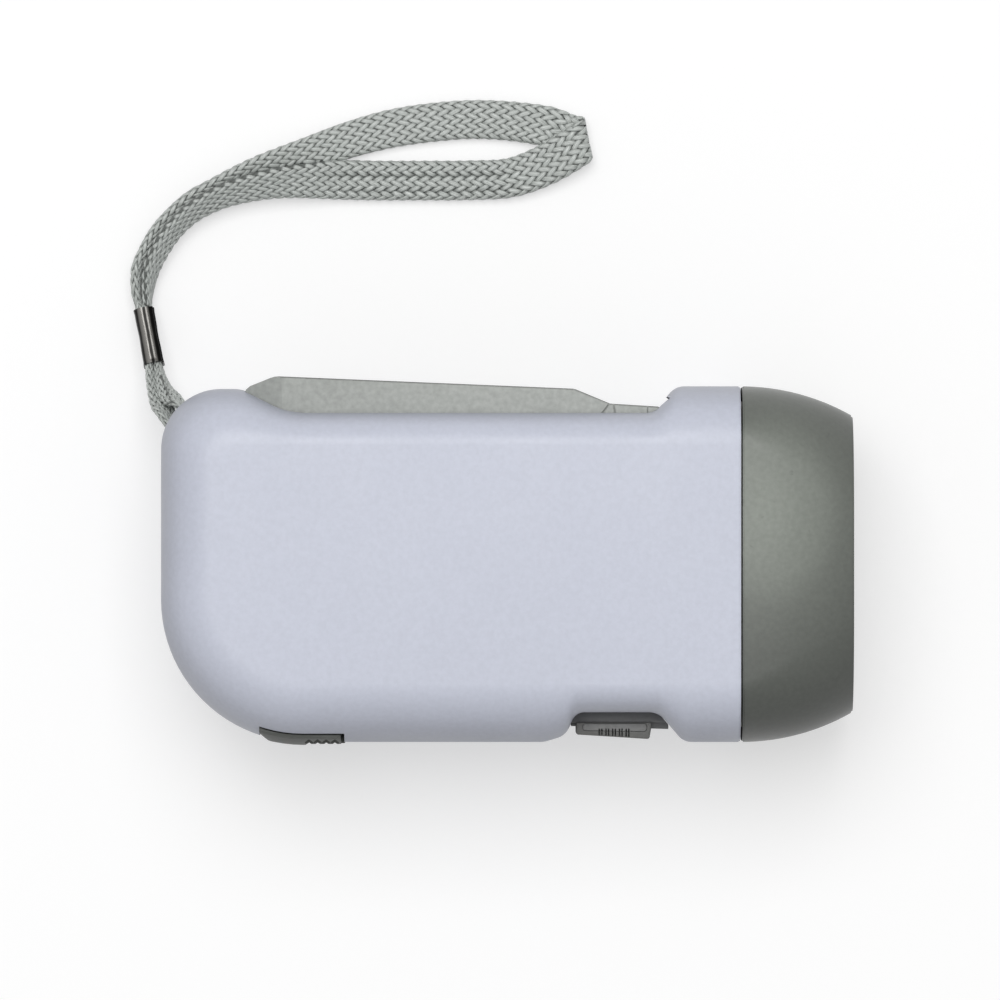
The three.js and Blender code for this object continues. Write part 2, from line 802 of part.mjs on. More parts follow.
function lowerBosses() {
  const cellPosts = cellPostDegrees.map((degrees) => {
    const place = fromPoint(cellCentre, cellRadius + cellPostRadius + fitGap, degrees);
    return rodZ(cellPostRadius, place, wall / 2, wall + cellLift + cellHeight);
  });
  const boardPosts = boardPostPlaces().map((place) => {
    return rodZ(boardPostRadius, place, wall / 2, boardLow - seatGap);
  });
  const screwPosts = screwPlaces.map((place) => {
    return rodZ(screwHeadRadius + postWall, place, wall / 2, midZ - fitGap / 2);
  });
  return unite(
    ...trainCentres.map((centre) => rodZ(axleBossRadius, centre, wall / 2, lowerBossTop)),
    rodZ(pinBossRadius, [pinX, pinY], wall / 2, leverLow - fitGap),
    rodZ(latchHubRadius, latchPivot, wall / 2, latchBossLevel(-1)),
    rodZ(cellRimRadius / 2, cellCentre, wall / 2, wall + cellLift - tabThickness - seatGap),
    ...cellPosts,
    ...boardPosts,
    ...screwPosts,
  );
}

function upperBosses() {
  const top = caseHeight - wall / 2;
  const magnetTop = magnetHigh + bossGap;
  const pinionTop = sectorHigh + runOver + fitGap;
  return unite(
    rodZ(axleBossRadius, driveCentre, pinionTop, top),
    rodZ(axleBossRadius, secondCentre, flywheelLow + flywheelThickness + bossGap, top),
    rodZ(axleBossRadius, rotorCentre, magnetTop, top),
    rodZ(pinBossRadius, [pinX, pinY], leverHigh + fitGap, top),
    rodZ(latchHubRadius, latchPivot, latchBossLevel(1), top),
    ...statorPostPlaces().map((place) => rodZ(ceilingPostRadius, place, statorHigh + seatGap, top)),
    ...screwPlaces.map((place) => rodZ(screwHeadRadius + postWall / 2, place, midZ + fitGap / 2, top)),
  );
}

function boardPostPlaces() {
  return [
    [boardX0 + boardPostInset, boardY1 - boardPostInset],
    [boardX1 - boardPostInset, boardY1 - boardPostInset],
    [boardX0 + boardPostInset, boardY0 + boardPostInset],
  ];
}

function statorPostPlaces() {
  const { legX, topY, bottomY } = statorPlaces();
  return [topY, bottomY].map((y) => [legX, y]);
}

function caseShell() {
  const lengthwise = block(-boxFar, seamX - fitGap / 2, -boxFar, boxFar, -boxFar, boxFar);
  return caseBlock(0).intersect(lengthwise).subtract(caseBlock(wall));
}

// The band along the parting line that sits between two insets of the outline.
function lipBand(outer, inner, z0, z1) {
  const outside = slab(pairs(inset(caseOutline(), outer)), z0, z1);
  const inside = slab(pairs(inset(caseOutline(), inner)), z0 - overrun, z1 + overrun);
  const behindSpigot = block(-boxFar, seamX - spigotLength - fitGap * 2, -boxFar, boxFar, z0, z1);
  return outside.subtract(inside).intersect(behindSpigot);
}

function insideCase(solid) {
  return solid.intersect(caseBlock(wall / 2));
}

function makeLowerShell() {
  const below = block(-boxFar, boxFar, -boxFar, boxFar, -boxFar, midZ - fitGap / 2);
  const lip = lipBand(wall - lipThickness, wall, midZ - lipHeight, midZ + lipHeight);
  const [x, y] = strapBar();
  const hole = midZ - strapHoleTop - strapHoleHeight / 2;
  return caseShell().intersect(below)
    .add(lip)
    .subtract(openings())
    .add(insideCase(lowerBosses()))
    .add(rodZ(strapBarRadius, [x, y], hole - strapHoleHeight, midZ - strapHoleTop / 2))
    .subtract(unite(screwBores(), axleBores()));
}

function makeUpperShell() {
  const above = block(-boxFar, boxFar, -boxFar, boxFar, midZ + fitGap / 2, boxFar);
  const groove = lipBand(wall - lipThickness - fitGap, wall + fitGap, midZ, midZ + lipHeight + fitGap);
  return caseShell().intersect(above)
    .subtract(groove)
    .subtract(openings())
    .add(insideCase(upperBosses()))
    .subtract(unite(screwBores(), axleBores()));
}

function makeScrew(place) {
  const [x, y] = place;
  const head = rodZ(screwHeadRadius, place, screwSeat - seatGap - screwHeadHeight, screwSeat - seatGap);
  const low = screwSeat - seatGap - screwHeadHeight;
  const half = slotWidth / 2;
  const slot = block(x - boxFar, x + boxFar, y - half, y + half, low - overrun, low + slotDeep);
  const stem = rodZ(screwRadius, place, screwSeat - screwHeadHeight, screwSeat + screwLength);
  return head.add(stem).subtract(slot);
}

// Head

const lensBack = frontX - lensRecess - lensThickness;
const ledgeFront = lensBack - fitGap;
const ledgeBack = ledgeFront - ledgeThickness;
const reflectorFront = ledgeBack - fitGap;
const cupBack = reflectorFront - cupDepth;
const ledBase = cupBack - fitGap - ledFlangeThickness;
const ledBoardFront = ledBase - seatGap;
const cupPlaces = [[0, upperCupRise], [-lowerCupSpread, -lowerCupDrop], [lowerCupSpread, -lowerCupDrop]];

function makeBezel() {
  const start = seamX + fitGap / 2;
  const spigotInset = wall + fitGap;
  const boreInset = spigotInset + spigotThickness;
  const seat = headBlock(lensBack - fitGap, frontX + overrun, rimWidth);
  return headBlock(start, frontX, 0)
    .add(headBlock(seamX - spigotLength, start + baseLength, spigotInset))
    .subtract(headBlock(seamX - spigotLength - overrun, start + baseLength, boreInset))
    .subtract(headBlock(start + baseLength - overrun / 2, ledgeBack, wall)
      .subtract(headBlock(start - overrun, start + baseLength, 0)))
    .subtract(headBlock(ledgeBack - overrun, frontX + overrun, rimWidth + ledgeWidth))
    .subtract(seat);
}

function makeLens() {
  return headBlock(lensBack, frontX - lensRecess, rimWidth + fitGap);
}

function cupProfile(thickness, front) {
  const profile = cupShares.map((share) => {
    const radius = cupThroat + (cupRadius - cupThroat) * Math.sqrt(share) + thickness;
    return [cupBack + cupDepth * share, radius];
  });
  const end = reflectorFront + front;
  const back = cupBack - (front || 0);
  return [[back, 0], [back, cupThroat + thickness], ...profile, [end, cupRadius + thickness], [end, 0]];
}

function makeReflector() {
  const plate = headBlock(reflectorFront - reflectorThickness, reflectorFront, wall + fitGap);
  const cups = cupPlaces.map(([y, rise]) => turnedX(cupProfile(cupWall, 0), y, midZ + rise, cupSides));
  const bores = cupPlaces.map(([y, rise]) => turnedX(cupProfile(0, overrun), y, midZ + rise, cupSides));
  const posts = [-1, 1].map((side) => {
    return rodX(postRadius, ledBoardFront + seatGap, reflectorFront, side * postSpread, midZ + postRise);
  });
  return unite(plate, ...cups, ...posts).subtract(unite(...bores));
}

function makeLed([y, rise]) {
  const top = ledBase + ledLength - ledRadius;
  const dome = domeShares.map((share) => {
    return [top + ledRadius * share, ledRadius * Math.sqrt(1 - share ** 2)];
  });
  const profile = [
    [ledBase, 0],
    [ledBase, ledFlange - fitGap],
    [ledBase + ledFlangeThickness, ledFlange - fitGap],
    [ledBase + ledFlangeThickness, ledRadius],
    [top, ledRadius],
    ...dome,
  ];
  return turnedX(profile, y, midZ + rise, plainSides);
}

function makeLedBoard() {
  const x0 = ledBoardFront - boardThickness;
  const [y, z] = [ledBoardWidth / 2, ledBoardHeight / 2];
  return block(x0, ledBoardFront, -y, y, midZ - z, midZ + z);
}

// Lever

function fromPin(run, rise) {
  return [pinX - run, pinY + rise];
}

function leverOutline(depth) {
  const corners = [
    [...fromPin(leverReach, -leverSkirtDrop), leverTipRadius],
    [...fromPin(-leverBackRun, -leverSkirtDrop), 0],
    [...fromPin(-leverBackRun, leverBackRise), 0],
    [...fromPin(leverRootRun, leverRootRise), 0],
    [...fromPin(leverNeckRun, leverNeckRise), leverHeelRadius],
    [...fromPin(leverHeelRun, leverHeelRise), leverHeelRadius],
    [...fromPin(leverCrestRun, leverCrestRise), leverCrestRadius],
    [...fromPin(leverReach, leverTipRise), leverTipRadius],
  ];
  return pairs(roundedLoop(insetCorners(corners, depth)));
}

function makeLever() {
  const shell = slab(leverOutline(0), leverLow, leverHigh);
  const channelEnd = pinX - channelEndRun;
  const channel = slab(leverOutline(leverWall), leverLow + leverWall, leverHigh - leverWall);
  const below = block(pinX - leverReach + leverWall, channelEnd, pinY - leverReach, pinY, leverLow + leverWall,
    leverHigh - leverWall);
  const inner = channel.add(below).subtract(block(channelEnd, boxFar, -boxFar, boxFar, -boxFar, boxFar));
  const hub = rodZ(hubRadius, [pinX, pinY], leverLow, leverHigh, smoothSides);
  const [springLow, springTop] = [midZ - springWindow / 2, midZ + springWindow / 2];
  const spring = rodZ(springWindowRadius, [pinX, pinY], springLow, springTop, smoothSides);
  const legTop = pinY + springRadius + springWireRadius + fitGap;
  const springWay = block(channelEnd - overrun, pinX, pinY - boxFar, legTop, springLow, springTop);
  const hole = rodZ(pinRadius + boreGap, [pinX, pinY], 0, caseHeight);
  return shell.subtract(inner)
    .add(hub)
    .subtract(spring)
    .subtract(springWay)
    .add(leverCatch())
    .add(sectorRibs())
    .subtract(hole);
}

function leverCatch() {
  const [noseX, low] = fromPin(leverReach + catchOvershoot, -catchDrop);
  const stemX = pinX - catchRun + catchStem;
  const top = pinY - leverSkirtDrop + catchStem;
  const z0 = midZ - sectorThickness / 2;
  const z1 = midZ + sectorThickness / 2;
  const stem = block(stemX - catchStem, stemX, low, top, z0, z1);
  const nose = block(noseX, stemX, low, low + catchThickness, z0, z1);
  return stem.add(nose).add(block(noseX + catchNose, stemX, top - catchStem, top, z0, z1));
}

function sectorRibs() {
  const x0 = pinX - ribRun;
  const inLever = slab(leverOutline(leverWall / 2), leverLow, leverHigh);
  const ribs = [sectorLow - fitGap - ribThickness, sectorHigh + fitGap].map((z0) => {
    return block(x0, x0 + ribLength, pinY, boxFar, z0, z0 + ribThickness);
  });
  return unite(...ribs).intersect(inLever).subtract(rivetHole());
}

function rivetPlace() {
  return fromPoint([pinX, pinY], sectorInner + sectorBandWidth / 2, 180 - rivetDegrees);
}

function rivetHole() {
  return rodZ(rivetRadius + boreGap, rivetPlace(), sectorLow - boxFar, sectorHigh + boxFar);
}

function makeSector() {
  const step = 360 / sectorTeeth;
  const lastTooth = Math.floor((leverOpenDegrees + step * 2) / step) - 1;
  const start = Math.PI + rad(meshDegrees);
  const teeth = toothPoints([pinX, pinY], sectorTeeth, driveModule, start, -1, lastTooth);
  const endDegrees = 180 + meshDegrees + lastTooth * step + sectorEndDegrees;
  const topDegrees = 180 - sectorTopDegrees;
  const arc = (radius, from, to, pieces) => Array.from({ length: pieces + 1 }, (_, k) => {
    return fromPoint([pinX, pinY], radius, from + (to - from) * k / pieces);
  });
  const firstRoot = 180 + meshDegrees - step - sectorEndDegrees;
  const band = [
    ...arc(sectorRoot, topDegrees, firstRoot, bandTopPieces),
    ...teeth,
    fromPoint([pinX, pinY], sectorRoot, endDegrees),
    ...arc(sectorInner, endDegrees, topDegrees, bandPieces),
  ];
  const foot = fromPoint([pinX, pinY], sectorInner + sectorBandWidth / 2, 180 + braceFootDegrees);
  const top = fromPin(braceTopRun, braceTopRise);
  const brace = slab([
    [foot[0] - braceWidth / 2, foot[1]],
    [foot[0] + braceWidth / 2, foot[1]],
    [top[0] + braceWidth / 2, top[1]],
    [top[0] - braceWidth / 2, top[1]],
  ], sectorLow, sectorHigh);
  const inside = slab(leverOutline(leverWall + fitGap), sectorLow - overrun, sectorHigh + overrun);
  const below = block(-boxFar, boxFar, -boxFar, pinY, -boxFar, boxFar);
  return slab(band, sectorLow, sectorHigh).add(brace).intersect(inside.add(below)).subtract(rivetHole());
}

function makeRivet() {
  const low = sectorLow - fitGap - ribThickness;
  const high = sectorHigh + fitGap + ribThickness;
  const half = rivetHeadThickness / 2;
  return unite(
    rodZ(rivetRadius, rivetPlace(), low - seatGap - half, high + seatGap + half),
    rodZ(rivetHeadRadius, rivetPlace(), low - seatGap - rivetHeadThickness, low - seatGap),
    rodZ(rivetHeadRadius, rivetPlace(), high + seatGap, high + seatGap + rivetHeadThickness),
  );
}

function makeReturnSpring() {
  const steps = springTurns * springSidesPerTurn;
  const points = Array.from({ length: steps + 1 }, (_, k) => {
    const [x, y] = fromPoint([pinX, pinY], springRadius, 90 + 360 * k / springSidesPerTurn);
    return new THREE.Vector3(x, y, midZ - springHeight / 2 + springHeight * k / steps);
  });
  const last = points[steps];
  points.push(new THREE.Vector3(last.x - springLegLength / 2, last.y, last.z));
  points.push(new THREE.Vector3(last.x - springLegLength, last.y, last.z));
  return tube(new THREE.CatmullRomCurve3(points), springWireRadius, steps + springSidesPerTurn, springSides);
}

// Gear train

const pinionStart = meshStart(Math.PI + rad(meshDegrees), Math.PI + rad(meshDegrees), sectorTeeth, pinionTeeth);
const driveStart = 0;
const secondStart = meshStart(rad(secondBearingDegrees), driveStart, driveTeeth, smallTeeth);
const rotorStart = meshStart(rad(rotorBearingDegrees), 0, secondTeeth, smallTeeth);

function bored(solid, centre) {
  return solid.subtract(rodZ(axleRadius + boreGap, centre, -overrun, caseHeight + overrun));
}

function makeInputPinion() {
  const low = sectorLow - runOver;
  const body = gear(driveCentre, pinionTeeth, driveModule, pinionStart, low, sectorHigh + runOver);
  return bored(body.add(rodZ(ratchetRadius, driveCentre, low - ratchetHeight, low, smoothSides)), driveCentre);
}

function makeDriveGear() {
  const hub = rodZ(axleRadius + boreGap + hubWall, driveCentre, lowerBossTop + fitGap, driveLow);
  const wheel = gear(driveCentre, driveTeeth, secondModule, driveStart, driveLow, driveHigh);
  return bored(wheel.add(hub), driveCentre);
}

function makeSecondGear() {
  const wheel = gear(secondCentre, secondTeeth, rotorModule, 0, secondLow, secondHigh);
  const pinion = gear(secondCentre, smallTeeth, secondModule, secondStart, secondHigh, driveHigh + runOver);
  const hub = rodZ(axleRadius + boreGap + hubWall / 2, secondCentre, lowerBossTop + fitGap, secondLow);
  return bored(unite(wheel, pinion, hub), secondCentre);
}

function makeRotorPinion() {
  const low = lowerBossTop + fitGap;
  return bored(gear(rotorCentre, smallTeeth, rotorModule, rotorStart, low, secondHigh + runOver), rotorCentre);
}

function makeAxle(centre) {
  return rodZ(axleRadius, centre, wall + fitGap, caseHeight - wall - fitGap);
}

function makeFlywheel() {
  const hub = rodZ(axleRadius + boreGap + hubWall, rotorCentre, secondHigh + runOver + fitGap, flywheelLow);
  const disc = rodZ(flywheelRadius, rotorCentre, flywheelLow, flywheelLow + flywheelThickness, smoothSides);
  return bored(disc.add(hub), rotorCentre);
}

function makeMagnet() {
  return bored(rodZ(magnetRadius, rotorCentre, magnetLow, magnetHigh, smoothSides), rotorCentre);
}

// Stator

function statorPlaces() {
  const [x, y] = rotorCentre;
  const reach = magnetRadius + airGap + legWidth / 2;
  return { legX: x + yokeSpan - statorPostSetback, yokeX: x + yokeSpan, topY: y + reach, bottomY: y - reach };
}

function makeStator() {
  const [x, y] = rotorCentre;
  const { yokeX, topY, bottomY } = statorPlaces();
  const legs = [topY, bottomY].map((legY) => {
    return block(x - poleHalfWidth, yokeX + yokeWidth / 2, legY - legWidth / 2, legY + legWidth / 2, statorLow,
      statorHigh);
  });
  const boreRadius = magnetRadius + airGap;
  const poles = ringZ(boreRadius + poleThickness, boreRadius, rotorCentre, statorLow, statorHigh);
  const poleSpan = block(x - poleHalfWidth, x + poleHalfWidth, -boxFar, boxFar, -boxFar, boxFar);
  const yoke = block(yokeX - yokeWidth / 2, yokeX + yokeWidth / 2, bottomY, topY, statorLow, statorHigh);
  const bore = rodZ(boreRadius, [x, y], -overrun, caseHeight, smoothSides);
  return unite(...legs, poles.intersect(poleSpan), yoke).subtract(bore);
}

function coilPlaces() {
  const { yokeX } = statorPlaces();
  const y1 = rotorCentre[1] + coilOffset - airGap;
  return { x: yokeX, y0: y1 - coilLength, y1 };
}

function coilBox(grow, y0, y1) {
  const { x } = coilPlaces();
  const halfX = yokeWidth / 2 + grow;
  return block(x - halfX, x + halfX, y0, y1, statorLow - grow, statorHigh + grow);
}

function makeBobbin() {
  const { y0, y1 } = coilPlaces();
  const tubeGrow = fitGap + bobbinWall;
  const flange = tubeGrow + fitGap + coilBuild;
  return unite(
    coilBox(tubeGrow, y0, y1),
    coilBox(flange, y0, y0 + flangeThickness),
    coilBox(flange, y1 - flangeThickness, y1),
  ).subtract(coilBox(fitGap, y0 - overrun, y1 + overrun));
}

function makeWinding() {
  const { y0, y1 } = coilPlaces();
  const inner = fitGap + bobbinWall + fitGap;
  const low = y0 + flangeThickness + fitGap;
  const high = y1 - flangeThickness - fitGap;
  const layers = Array.from({ length: turnsRound }, (_, k) => {
    const from = low + (high - low) * k / turnsRound;
    const to = low + (high - low) * (k + 1) / turnsRound;
    return coilBox(inner + coilBuild - (k % 2 ? fitGap * 2 : fitGap), from, to);
  });
  return unite(...layers).subtract(coilBox(inner, y0, y1));
}

// Circuit

function makeMainBoard() {
  return block(boardX0, boardX1, boardY0, boardY1, boardLow, boardHigh);
}

function makeRectifier() {
  const x0 = boardX0 + boardPostInset;
  const y0 = boardY1 - boardPostInset - rectifierWidth;
  const low = boardHigh + seatGap;
  const body = block(x0, x0 + rectifierLength, y0, y0 + rectifierWidth, low, low + rectifierHeight);
  const notch = block(x0 - overrun, x0 + slotWidth, y0 - overrun, y0 + slotWidth, low - overrun, boxFar);
  return body.subtract(notch);
}

function makeCell() {
  const low = wall + cellLift;
  const rim = rodZ(cellRadius, cellCentre, low + cellStep, low + cellHeight, smoothSides);
  return rim.add(rodZ(cellRimRadius, cellCentre, low, low + cellHeight - cellStep, smoothSides));
}

function makeTab(z0) {
  const [x, y] = cellCentre;
  const end = boardY1 - tabOverBoard;
  return block(x - tabWidth / 2, x + tabWidth / 2, end, y, z0, z0 + tabThickness)
    .add(rodZ(tabWidth / 2, [x, y], z0, z0 + tabThickness))
    .subtract(rodZ(wireRadius * 2, [x, end + tabWidth / 2], z0 - overrun, z0 + overrun));
}

function makeSwitchBody() {
  const x = seamX - switchCentreSetback;
  const y0 = boardY0 + seatGap;
  const body = block(x - switchBodyLength / 2, x + switchBodyLength / 2, y0, y0 + switchBodyDepth,
    boardHigh + fitGap, boardHigh + fitGap + switchBodyHeight);
  return body.subtract(stemWindow(-boxFar, y0 + switchRecess));
}

const buttonBase = -sideY + pocketDepth - buttonStandoff;

function makeSwitchRail() {
  const x = seamX - railSetback;
  const floor = -sideY + pocketDepth - fitGap;
  const top = buttonBase + fitGap;
  const foot = block(x - railFootLength / 2, x + railFootLength / 2, top, floor, midZ - railHeight / 2,
    midZ + railHeight / 2);
  const rail = block(x - railLength / 2, x + railLength / 2, top - railDepth, top, midZ - railHeight / 2,
    midZ + railHeight / 2);
  return foot.add(rail).subtract(stemWindow(-boxFar, 0));
}

function makeSwitchButton() {
  const x0 = seamX - buttonSetback - buttonLength / 2;
  const x1 = x0 + buttonLength;
  const outer = buttonBase - buttonDepth;
  const skirt = slab([
    [x0, outer + buttonTaper],
    [x1 - ridgeWidth, outer],
    [x1, buttonBase],
    [x0, buttonBase],
  ], midZ - buttonHeight / 2, midZ + buttonHeight / 2);
  const straddle = block(x0 - overrun, x1 + overrun, outer + buttonTopDepth, boxFar / 2,
    midZ - railHeight / 2 - fitGap, midZ + railHeight / 2 + fitGap);
  const middle = (x0 + x1) / 2;
  const ridges = Array.from({ length: ridgeCount + 1 }, (_, k) => {
    const x = middle + (k - ridgeCount / 2) * ridgePitch - (ridgePitch - ridgeWidth) / 2;
    return block(x, x + ridgePitch - ridgeWidth, -boxFar, outer + buttonTaper / 2 + ridgeDepth,
      midZ - buttonHeight / 2 + ridgeInset, midZ + buttonHeight / 2 - ridgeInset);
  });
  const stemX = seamX - switchCentreSetback;
  const stemEnd = boardY0 + seatGap + stemReach;
  const stem = block(stemX - stemLength / 2, stemX + stemLength / 2, outer + buttonTopDepth - fitGap, stemEnd,
    midZ - stemHeight / 2, midZ + stemHeight / 2);
  return skirt.subtract(straddle).subtract(unite(...ridges)).add(stem);
}

// Latch

function makeLatch() {
  const x0 = tailX + latchSetback + latchRightGap + fitGap;
  const x1 = x0 + latchLength - latchRightGap;
  const half = latchWidth / 2;
  const skin = caseBlock(-latchProud);
  const pad = skin.intersect(block(x0, x1, -boxFar, -sideY + latchThickness, midZ - half, midZ + half));
  const ridges = Array.from({ length: latchRidgeCount }, (_, k) => {
    const x = x1 - (k + 1) * latchRidgePitch;
    return rodZ(latchRidgeDepth, [x, -sideY - latchProud + latchRidgeDepth / 4], -overrun, caseHeight);
  });
  const [px, py] = latchPivot;
  const z0 = midZ - latchArmHeight / 2;
  const z1 = midZ + latchArmHeight / 2;
  const arm = strip([
    [px, py],
    [tailX + latchElbowSetback, -sideY + latchElbowRise],
    [tailX + latchArmSetback, -sideY + latchArmRise],
    [tailX + latchArmSetback, hookBase() + hookThickness],
  ], latchArmWidth, z0, z1);
  const noseX = pinX - leverReach - catchOvershoot - hookGap * 2;
  const hook = block(tailX + latchArmSetback, noseX, hookBase(), hookBase() + hookThickness, z0, z1);
  const lug = slab([
    [px - latchHubRadius / 2, py],
    [px + latchHubRadius / 2, py - latchHubRadius],
    [px + latchHubRadius * 2, -sideY + latchThickness - latchProud],
    [px + latchHubRadius / 2, -sideY + latchThickness - latchProud],
  ].reverse(), z0, z1);
  return unite(pad.subtract(unite(...ridges)), arm, hook, lug, rodZ(latchHubRadius, latchPivot, z0, z1))
    .subtract(rodZ(latchPinRadius + boreGap, latchPivot, 0, caseHeight));
}

function hookBase() {
  return pinY - catchDrop + catchThickness + hookGap;
}

// A flat bar of constant width along a line of points.
function strip(points, width, z0, z1) {
  const bars = points.slice(1).map((end, i) => {
    const start = points[i];
    const length = Math.hypot(end[0] - start[0], end[1] - start[1]);
    const bar = block(0, length, -width / 2, width / 2, z0, z1);
    const turn = THREE.MathUtils.radToDeg(Math.atan2(end[1] - start[1], end[0] - start[0]));
    return bar.rotate([0, 0, turn]).translate([start[0], start[1], 0]);
  });
  const knees = points.slice(1, -1).map((place) => rodZ(width / 2, place, z0, z1));
  return unite(...bars, ...knees);
}

function makeLatchSpring() {
  const x = tailX + latchSpringSetback;
  const low = -sideY + latchThickness + fitGap + latchSpringWire;
  const steps = latchSpringTurns * springSidesPerTurn;
  const points = Array.from({ length: steps + 1 }, (_, k) => {
    const [dx, dz] = fromPoint([x, midZ], latchSpringRadius, 360 * k / springSidesPerTurn);
    return new THREE.Vector3(dx, low + latchSpringLength * k / steps, dz);
  });
  return tube(new THREE.CatmullRomCurve3(points), latchSpringWire, steps, springSides);
}

// Strap

// The strap's centre line, with frames that keep its broad side upright.
function strapPath() {
  const points = strapRoute.map((point) => new THREE.Vector3(...point));
  const path = new THREE.CatmullRomCurve3(points, false, 'centripetal');
  path.computeFrenetFrames = (steps) => {
    const up = new THREE.Vector3(0, 0, 1);
    const tangents = Array.from({ length: steps + 1 }, (_, k) => path.getTangentAt(k / steps));
    const normals = tangents.map((tangent) => {
      return up.clone().addScaledVector(tangent, -tangent.dot(up)).normalize();
    });
    const binormals = tangents.map((tangent, k) => tangent.clone().cross(normals[k]));
    return { tangents, normals, binormals };
  };
  return path;
}

function makeStrap() {
  const section = new THREE.Shape();
  section.absellipse(0, 0, strapBunchWidth / 2, strapThickness / 2, 0, Math.PI * 2, false, 0);
  const options = { steps: strapSteps, bevelEnabled: false, extrudePath: strapPath(), curveSegments: 4 };
  return toSolid(new THREE.ExtrudeGeometry(section, options));
}

function makeFerrule() {
  const [low, high] = ferruleRows.map((row) => new THREE.Vector3(...strapRoute[row]));
  const [lowTwin, highTwin] = ferruleTwinRows.map((row) => new THREE.Vector3(...strapRoute[row]));
  const start = low.add(lowTwin).multiplyScalar(0.5);
  const end = high.add(highTwin).multiplyScalar(0.5);
  const length = start.distanceTo(end);
  const outer = crimp(ferruleWidth, ferruleHeight, 0, length);
  const [innerWidth, innerHeight] = [ferruleWidth - ferruleWall * 2, ferruleHeight - ferruleWall * 2];
  const inner = crimp(innerWidth, innerHeight, -overrun, length + overrun);
  const way = end.clone().sub(start).normalize();
  const turnZ = THREE.MathUtils.radToDeg(Math.atan2(way.y, way.x));
  const dip = -THREE.MathUtils.radToDeg(Math.asin(way.z));
  return outer.subtract(inner).rotate([0, dip, turnZ]).translate(start.toArray());
}

function crimp(width, height, x0, x1) {
  const half = [width / 2, height / 2];
  const shape = roundedLoop([
    [-half[0], -half[1], ferruleCorner],
    [half[0], -half[1], ferruleCorner],
    [half[0], half[1], ferruleCorner],
    [-half[0], half[1], ferruleCorner],
  ]);
  const geometry = new THREE.ExtrudeGeometry(new THREE.Shape(shape), { depth: x1 - x0, bevelEnabled: false });
  return toSolid(geometry.translate(0, 0, x0).rotateY(Math.PI / 2).rotateX(Math.PI / 2));
}

// Wires

function makeWire(points) {
  const curve = new THREE.CatmullRomCurve3(points.map((p) => new THREE.Vector3(...p)));
  return tube(curve, wireRadius, wireSteps, springSides);
}

function coilLead(side) {
  const { x, y0 } = coilPlaces();
  const start = [x + yokeWidth, y0 - fitGap - wireRadius, statorLow - side * wireRadius * 2];
  const end = [boardX0 + boardPostInset - side * wireSpacing, boardY0 + boardPostInset, boardHigh + seatGap];
  const sag = side * coilLeadSag;
  const mid = [(start[0] + end[0]) / 2, (start[1] + end[1]) / 2, (start[2] + end[2]) / 2 - sag];
  return makeWire([start, mid, [end[0], end[1], end[2] + coilLeadRise], end]);
}

function cellLead() {
  const [x] = cellCentre;
  const start = [x, boardY1 - tabOverBoard + tabWidth / 2, wall + cellLift + cellHeight + seatGap * 2 + tabThickness];
  const end = [x, start[1] - cellLeadSlack, boardLow - seatGap];
  return makeWire([start, [start[0], start[1] - cellLeadSlack / 2, (start[2] + end[2]) / 2], end]);
}

function ledLead(side) {
  const start = [boardX1 - boardPostInset, boardY1 - boardPostInset + side * wireSpacing, boardHigh + seatGap];
  const spread = side * ledLeadSpread;
  const end = [ledBoardFront - boardThickness - seatGap, start[1] + ledLeadRise, midZ + spread];
  const rise = [start[0], start[1], midZ - ledLeadSpread + spread];
  return makeWire([start, rise, [(start[0] + end[0]) / 2, (start[1] + end[1]) / 2, midZ + spread], end]);
}

part('upper_shell', makeUpperShell(), paleShell);
part('lower_shell', makeLowerShell(), paleShell);
screwPlaces.forEach((place, i) => part(`shell_screw_${i + 1}`, makeScrew(place), steel));
part('head_bezel', makeBezel(), greyRubber);
part('lens', makeLens(), clear);
part('reflector', makeReflector(), mirror);
cupPlaces.forEach((place, i) => part(`led_${i + 1}`, makeLed(place), clear));
part('led_board', makeLedBoard(), boardGreen);
part('squeeze_lever', makeLever(), greyRubber);
part('drive_sector', makeSector(), white);
part('sector_rivet', makeRivet(), steel);
part('lever_pin', rodZ(pinRadius, [pinX, pinY], wall + fitGap, caseHeight - wall - fitGap), steel);
part('return_spring', makeReturnSpring(), steel);
part('input_pinion', makeInputPinion(), white);
part('drive_gear', makeDriveGear(), white);
part('drive_axle', makeAxle(driveCentre), steel);
part('second_gear', makeSecondGear(), white);
part('second_axle', makeAxle(secondCentre), steel);
part('rotor_shaft', makeAxle(rotorCentre), steel);
part('rotor_pinion', makeRotorPinion(), white);
part('flywheel', makeFlywheel(), steel);
part('rotor_magnet', makeMagnet(), ferrite);
part('stator_core', makeStator(), steel);
part('coil_bobbin', makeBobbin(), white);
part('coil_winding', makeWinding(), copper);
part('circuit_board', makeMainBoard(), boardGreen);
part('rectifier', makeRectifier(), ferrite);
part('rechargeable_cell', makeCell(), steel);
part('cell_tab_upper', makeTab(wall + cellLift + cellHeight + seatGap), steel);
part('cell_tab_lower', makeTab(wall + cellLift - tabThickness - seatGap / 2), steel);
part('slide_switch', makeSwitchBody(), steel);
part('switch_rail', makeSwitchRail(), darkGrey);
part('switch_button', makeSwitchButton(), darkGrey);
part('latch', makeLatch(), darkGrey);
part('latch_pin', rodZ(latchPinRadius, latchPivot, midZ - latchPinLength / 2 + fitGap, midZ + latchPinLength / 2
  - fitGap), steel);
part('latch_spring', makeLatchSpring(), steel);
part('coil_lead_1', coilLead(-1), wireRed);
part('coil_lead_2', coilLead(1), wireRed);
part('cell_lead', cellLead(), wireRed);
part('led_lead_1', ledLead(-1), wireRed);
part('led_lead_2', ledLead(1), wireRed);
part('strap_ferrule', makeFerrule(), nickel);
part('wrist_strap', makeStrap(), webbing);

export default flashlight;
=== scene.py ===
import json
import math
from contextlib import contextmanager

